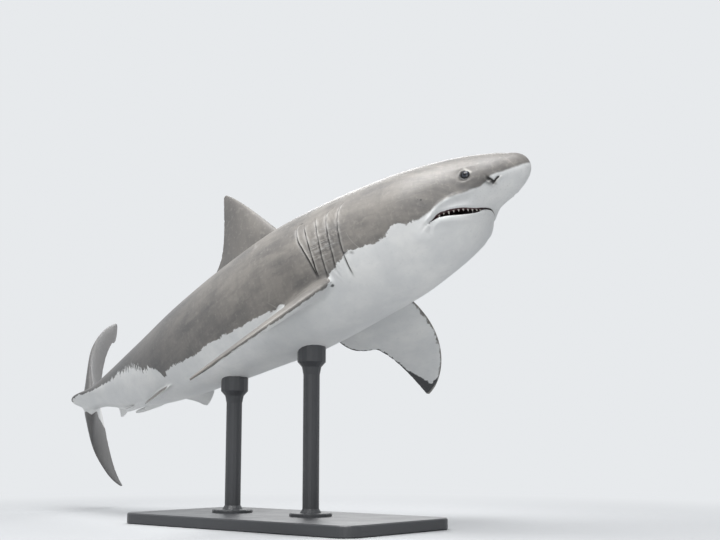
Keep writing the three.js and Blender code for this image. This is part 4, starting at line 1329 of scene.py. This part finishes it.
def tooth_nets(sign, count, inset, height, width, rise):
    """Blades along the lip: half width falls from root to tip, lens section, all at once."""
    w = np.linspace(0.0, 0.90, 400)
    u, y, _ = lip_path(sign, w, inset)
    run = np.concatenate([[0], np.cumsum(np.hypot(np.diff(u), np.diff(y)))])
    share = (np.arange(count) + 0.5) / count
    at = np.interp(share ** 1.05 * run[-1], run, w)
    at = np.concatenate([-at[::-1], at])[:, None, None]
    u, y, level = lip_path(sign, at, inset)
    du, dy, _ = (after - before for after, before in
                 zip(lip_path(sign, at + 0.01, inset), lip_path(sign, at - 0.01, inset)))
    size = np.hypot(du, dy)
    out_u, out_y = -np.abs(dy) / size, np.sign(at) * np.abs(du) / size
    h = np.linspace(0, 1, 9)[:, None]
    turn = once_round(10)
    scale = 1 - 0.42 * np.abs(at) ** 1.3
    uneven = 0.92 + (0.13 * np.sin(at * 57) + 0.11 * np.sin(at * 131 + 2))
    tall = np.minimum(height, 2.0 * mouth_open(u) + rise - 0.0004) * uneven
    half = 0.5 * width * scale * (0.6 + 0.4 * uneven) * (1 - h) ** 0.82
    half = half * (1 - 0.18 * np.sin(np.pi * h)) + TOOTH_TIP
    thick = 0.22 * width * scale * (1 - h) ** 0.6 + TOOTH_TIP
    lean = 0.16 * height * h * (at + 0.5 * np.sin(at * 83))
    a, b = half * np.cos(turn) + lean, thick * np.sin(turn) * 0.8 + 0.06 * height * h
    return place(u + du / size * a + out_u * b, y + dy / size * a + out_y * b,
                 level + sign * rise - sign * (tall * h))


def many_tubes(nets):
    """One mesh of many closed tubes, faces renumbered by the count of vertices before them."""
    vertices, faces, count = [], [], 0
    for net in nets:
        v, f = capped_tube(net)
        vertices.append(v)
        faces += [[index + count for index in face] for face in f]
        count += len(v)
    return np.concatenate(vertices), faces


enamel, tree, shader, where = new_material("tooth_enamel")
# Cloudy noise blends a pale and a darker ivory over the teeth.
tooth_tone = blend(tree, noise(tree, where, 130.0, 3.0), (0.60, 0.58, 0.53), (0.38, 0.355, 0.31))
fill(tree, shader, {"Base Color": tooth_tone, "Roughness": 0.22,
                    "Normal": raised(tree, noise(tree, where, 700.0), 0.2, 0.0005)})
for name, sign, inset, radius, rise in GUMS:
    gum = object_from(name, *capped_tube(gum_net(sign, inset, radius, rise)))
    gum.data.materials.append(flesh)
    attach(gum, "root")
for name, sign, count, inset, height, width, rise in TEETH:
    teeth = object_from(name, *many_tubes(tooth_nets(sign, count, inset, height, width, rise)))
    teeth.data.materials.append(enamel)
    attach(teeth, "root")
print("teeth, upper and lower jaw:", *[2 * row[2] for row in TEETH])

# %% [markdown]
# ## The stand
#
# The stand is plain: a steel base and two turned posts, powder coated in a dark satin grey. The
# solids have the right shape already, so they only get their finish: a fine orange-peel grain
# and a little wear.

# %% Finish of the stand
coating, tree, shader, where = new_material("powder_coated_steel")
powder = use(tree, grain, Where=where, Fine=480.0, Coarse=5.0).outputs
scuffs = use(tree, scratches, Where=where, Scale=9.0, Fewness=0.66).outputs["Mask"]
tone = layered(tree, (0.040, 0.042, 0.046), [(powder["Mottle"], (0.058, 0.060, 0.064)),
                                             (times(tree, scuffs, 0.35), (0.14, 0.14, 0.145))])
fill(tree, shader, {"Base Color": tone, "Normal": raised(tree, powder["Height"], 0.35, 0.0010),
                    "Roughness": soft_step(tree, powder["Mottle"], 0.3, 0.7, 0.36, 0.48)})
for node in ("stand_base", "stand_rod_front", "stand_rod_rear"):
    solid = bpy.data.objects[node]
    solid.data.materials.clear()
    solid.data.materials.append(coating)

# %% [markdown]
# ## Floor, light and camera
#
# A pale floor fades into an equally pale background, so that no horizon shows. Large soft lamps
# above, beside and behind the animal model its forms without hard shadows.

# %% The floor and the background
PALE = (0.80, 0.82, 0.84, 1)
FLOOR_LEVEL, FLOOR_RADIUS, FLOOR_FADE = -0.0005, 60.0, (1.6, 4.6)


def floor_net(radius):
    """Rings of a flat disc: radius grows with the square of the row."""
    r = radius * np.linspace(0.02, 1, 30)[:, None] ** 2
    turn = once_round(96)
    return np.stack(np.broadcast_arrays(r * np.cos(turn), r * np.sin(turn), FLOOR_LEVEL), -1)


def seen_plainly(tree):
    """1 for rays from the camera, off a mirror or through glass, and 0 for light on things."""
    ray = add(tree, "ShaderNodeLightPath").outputs
    indirect = calc(tree, "MAXIMUM", ray["Is Glossy Ray"], ray["Is Transmission Ray"])
    return calc(tree, "MAXIMUM", ray["Is Camera Ray"], indirect)


net = floor_net(FLOOR_RADIUS)
rows, count = net.shape[:2]
j, k, quads = ring_faces(rows, count)
fan = np.stack([np.full(count, rows * count), j, k], -1)
floor = object_from("studio_floor", np.concatenate([net.reshape(-1, 3), [[0, 0, FLOOR_LEVEL]]]),
                    quads[:, ::-1].tolist() + fan.tolist())
paint, tree, shader, where = new_material("studio_floor_paint")
fill(tree, shader, {"Base Color": (0.50, 0.51, 0.52, 1), "Roughness": 0.75})
glow = add(tree, "ShaderNodeEmission", {"Color": PALE, "Strength": 1.0})
spread = add(tree, "ShaderNodeVectorMath", {0: where}, operation="LENGTH").outputs["Value"]
fade = times(tree, soft_step(tree, spread, *FLOOR_FADE), seen_plainly(tree))
mixed = add(tree, "ShaderNodeMixShader", {0: fade, 1: shader.outputs[0], 2: glow.outputs[0]})
fill(tree, tree.nodes["Material Output"], {"Surface": mixed.outputs[0]})
floor.data.materials.append(paint)

world = bpy.data.worlds.new("studio")
bpy.context.scene.world = world
world.use_nodes = True
tree = world.node_tree
soft = tree.nodes["Background"]
fill(tree, soft, {"Color": (0.92, 0.95, 1.0, 1), "Strength": 0.38})
plain = add(tree, "ShaderNodeBackground", {"Color": PALE, "Strength": 1.0})
mixed = add(tree, "ShaderNodeMixShader",
            {0: seen_plainly(tree), 1: soft.outputs[0], 2: plain.outputs[0]})
fill(tree, tree.nodes["World Output"], {"Surface": mixed.outputs[0]})


# %% Lamps and camera
def soft_box(name, at, aim, size, power):
    """A square area lamp at a place, turned to its aim."""
    lamp = bpy.data.lights.new(name, "AREA")
    lamp.size, lamp.energy = size, power
    box = bpy.data.objects.new(name, lamp)
    box.location = at
    box.rotation_euler = (Vector(aim) - Vector(at)).to_track_quat("-Z", "Y").to_euler()
    bpy.context.scene.collection.objects.link(box)


middle = (0.0, 0.0, 1.2)
soft_box("key_above", (0.6, -1.4, 5.6), middle, 3.6, 400)
soft_box("fill_side", (4.8, -5.6, 2.6), middle, 3.5, 120)
soft_box("rim_behind", (-3.2, 4.6, 4.2), middle, 3.0, 165)

CAMERA_AT = Vector((4.387, -4.478, 0.431))
LOOK = Vector((-0.641, 0.7515, 0.1564)).normalized()
camera = bpy.data.objects.new("camera", bpy.data.cameras.new("camera"))
camera.data.sensor_width, camera.data.lens = 36.0, 55.7365
right = LOOK.cross(Vector((0, 0, 1))).normalized()
turn = Matrix((right, right.cross(LOOK), -LOOK)).transposed()
camera.matrix_world = Matrix.Translation(CAMERA_AT) @ turn.to_4x4()
bpy.context.scene.collection.objects.link(camera)
bpy.context.scene.camera = camera
bpy.context.scene.view_settings.view_transform = "Standard"
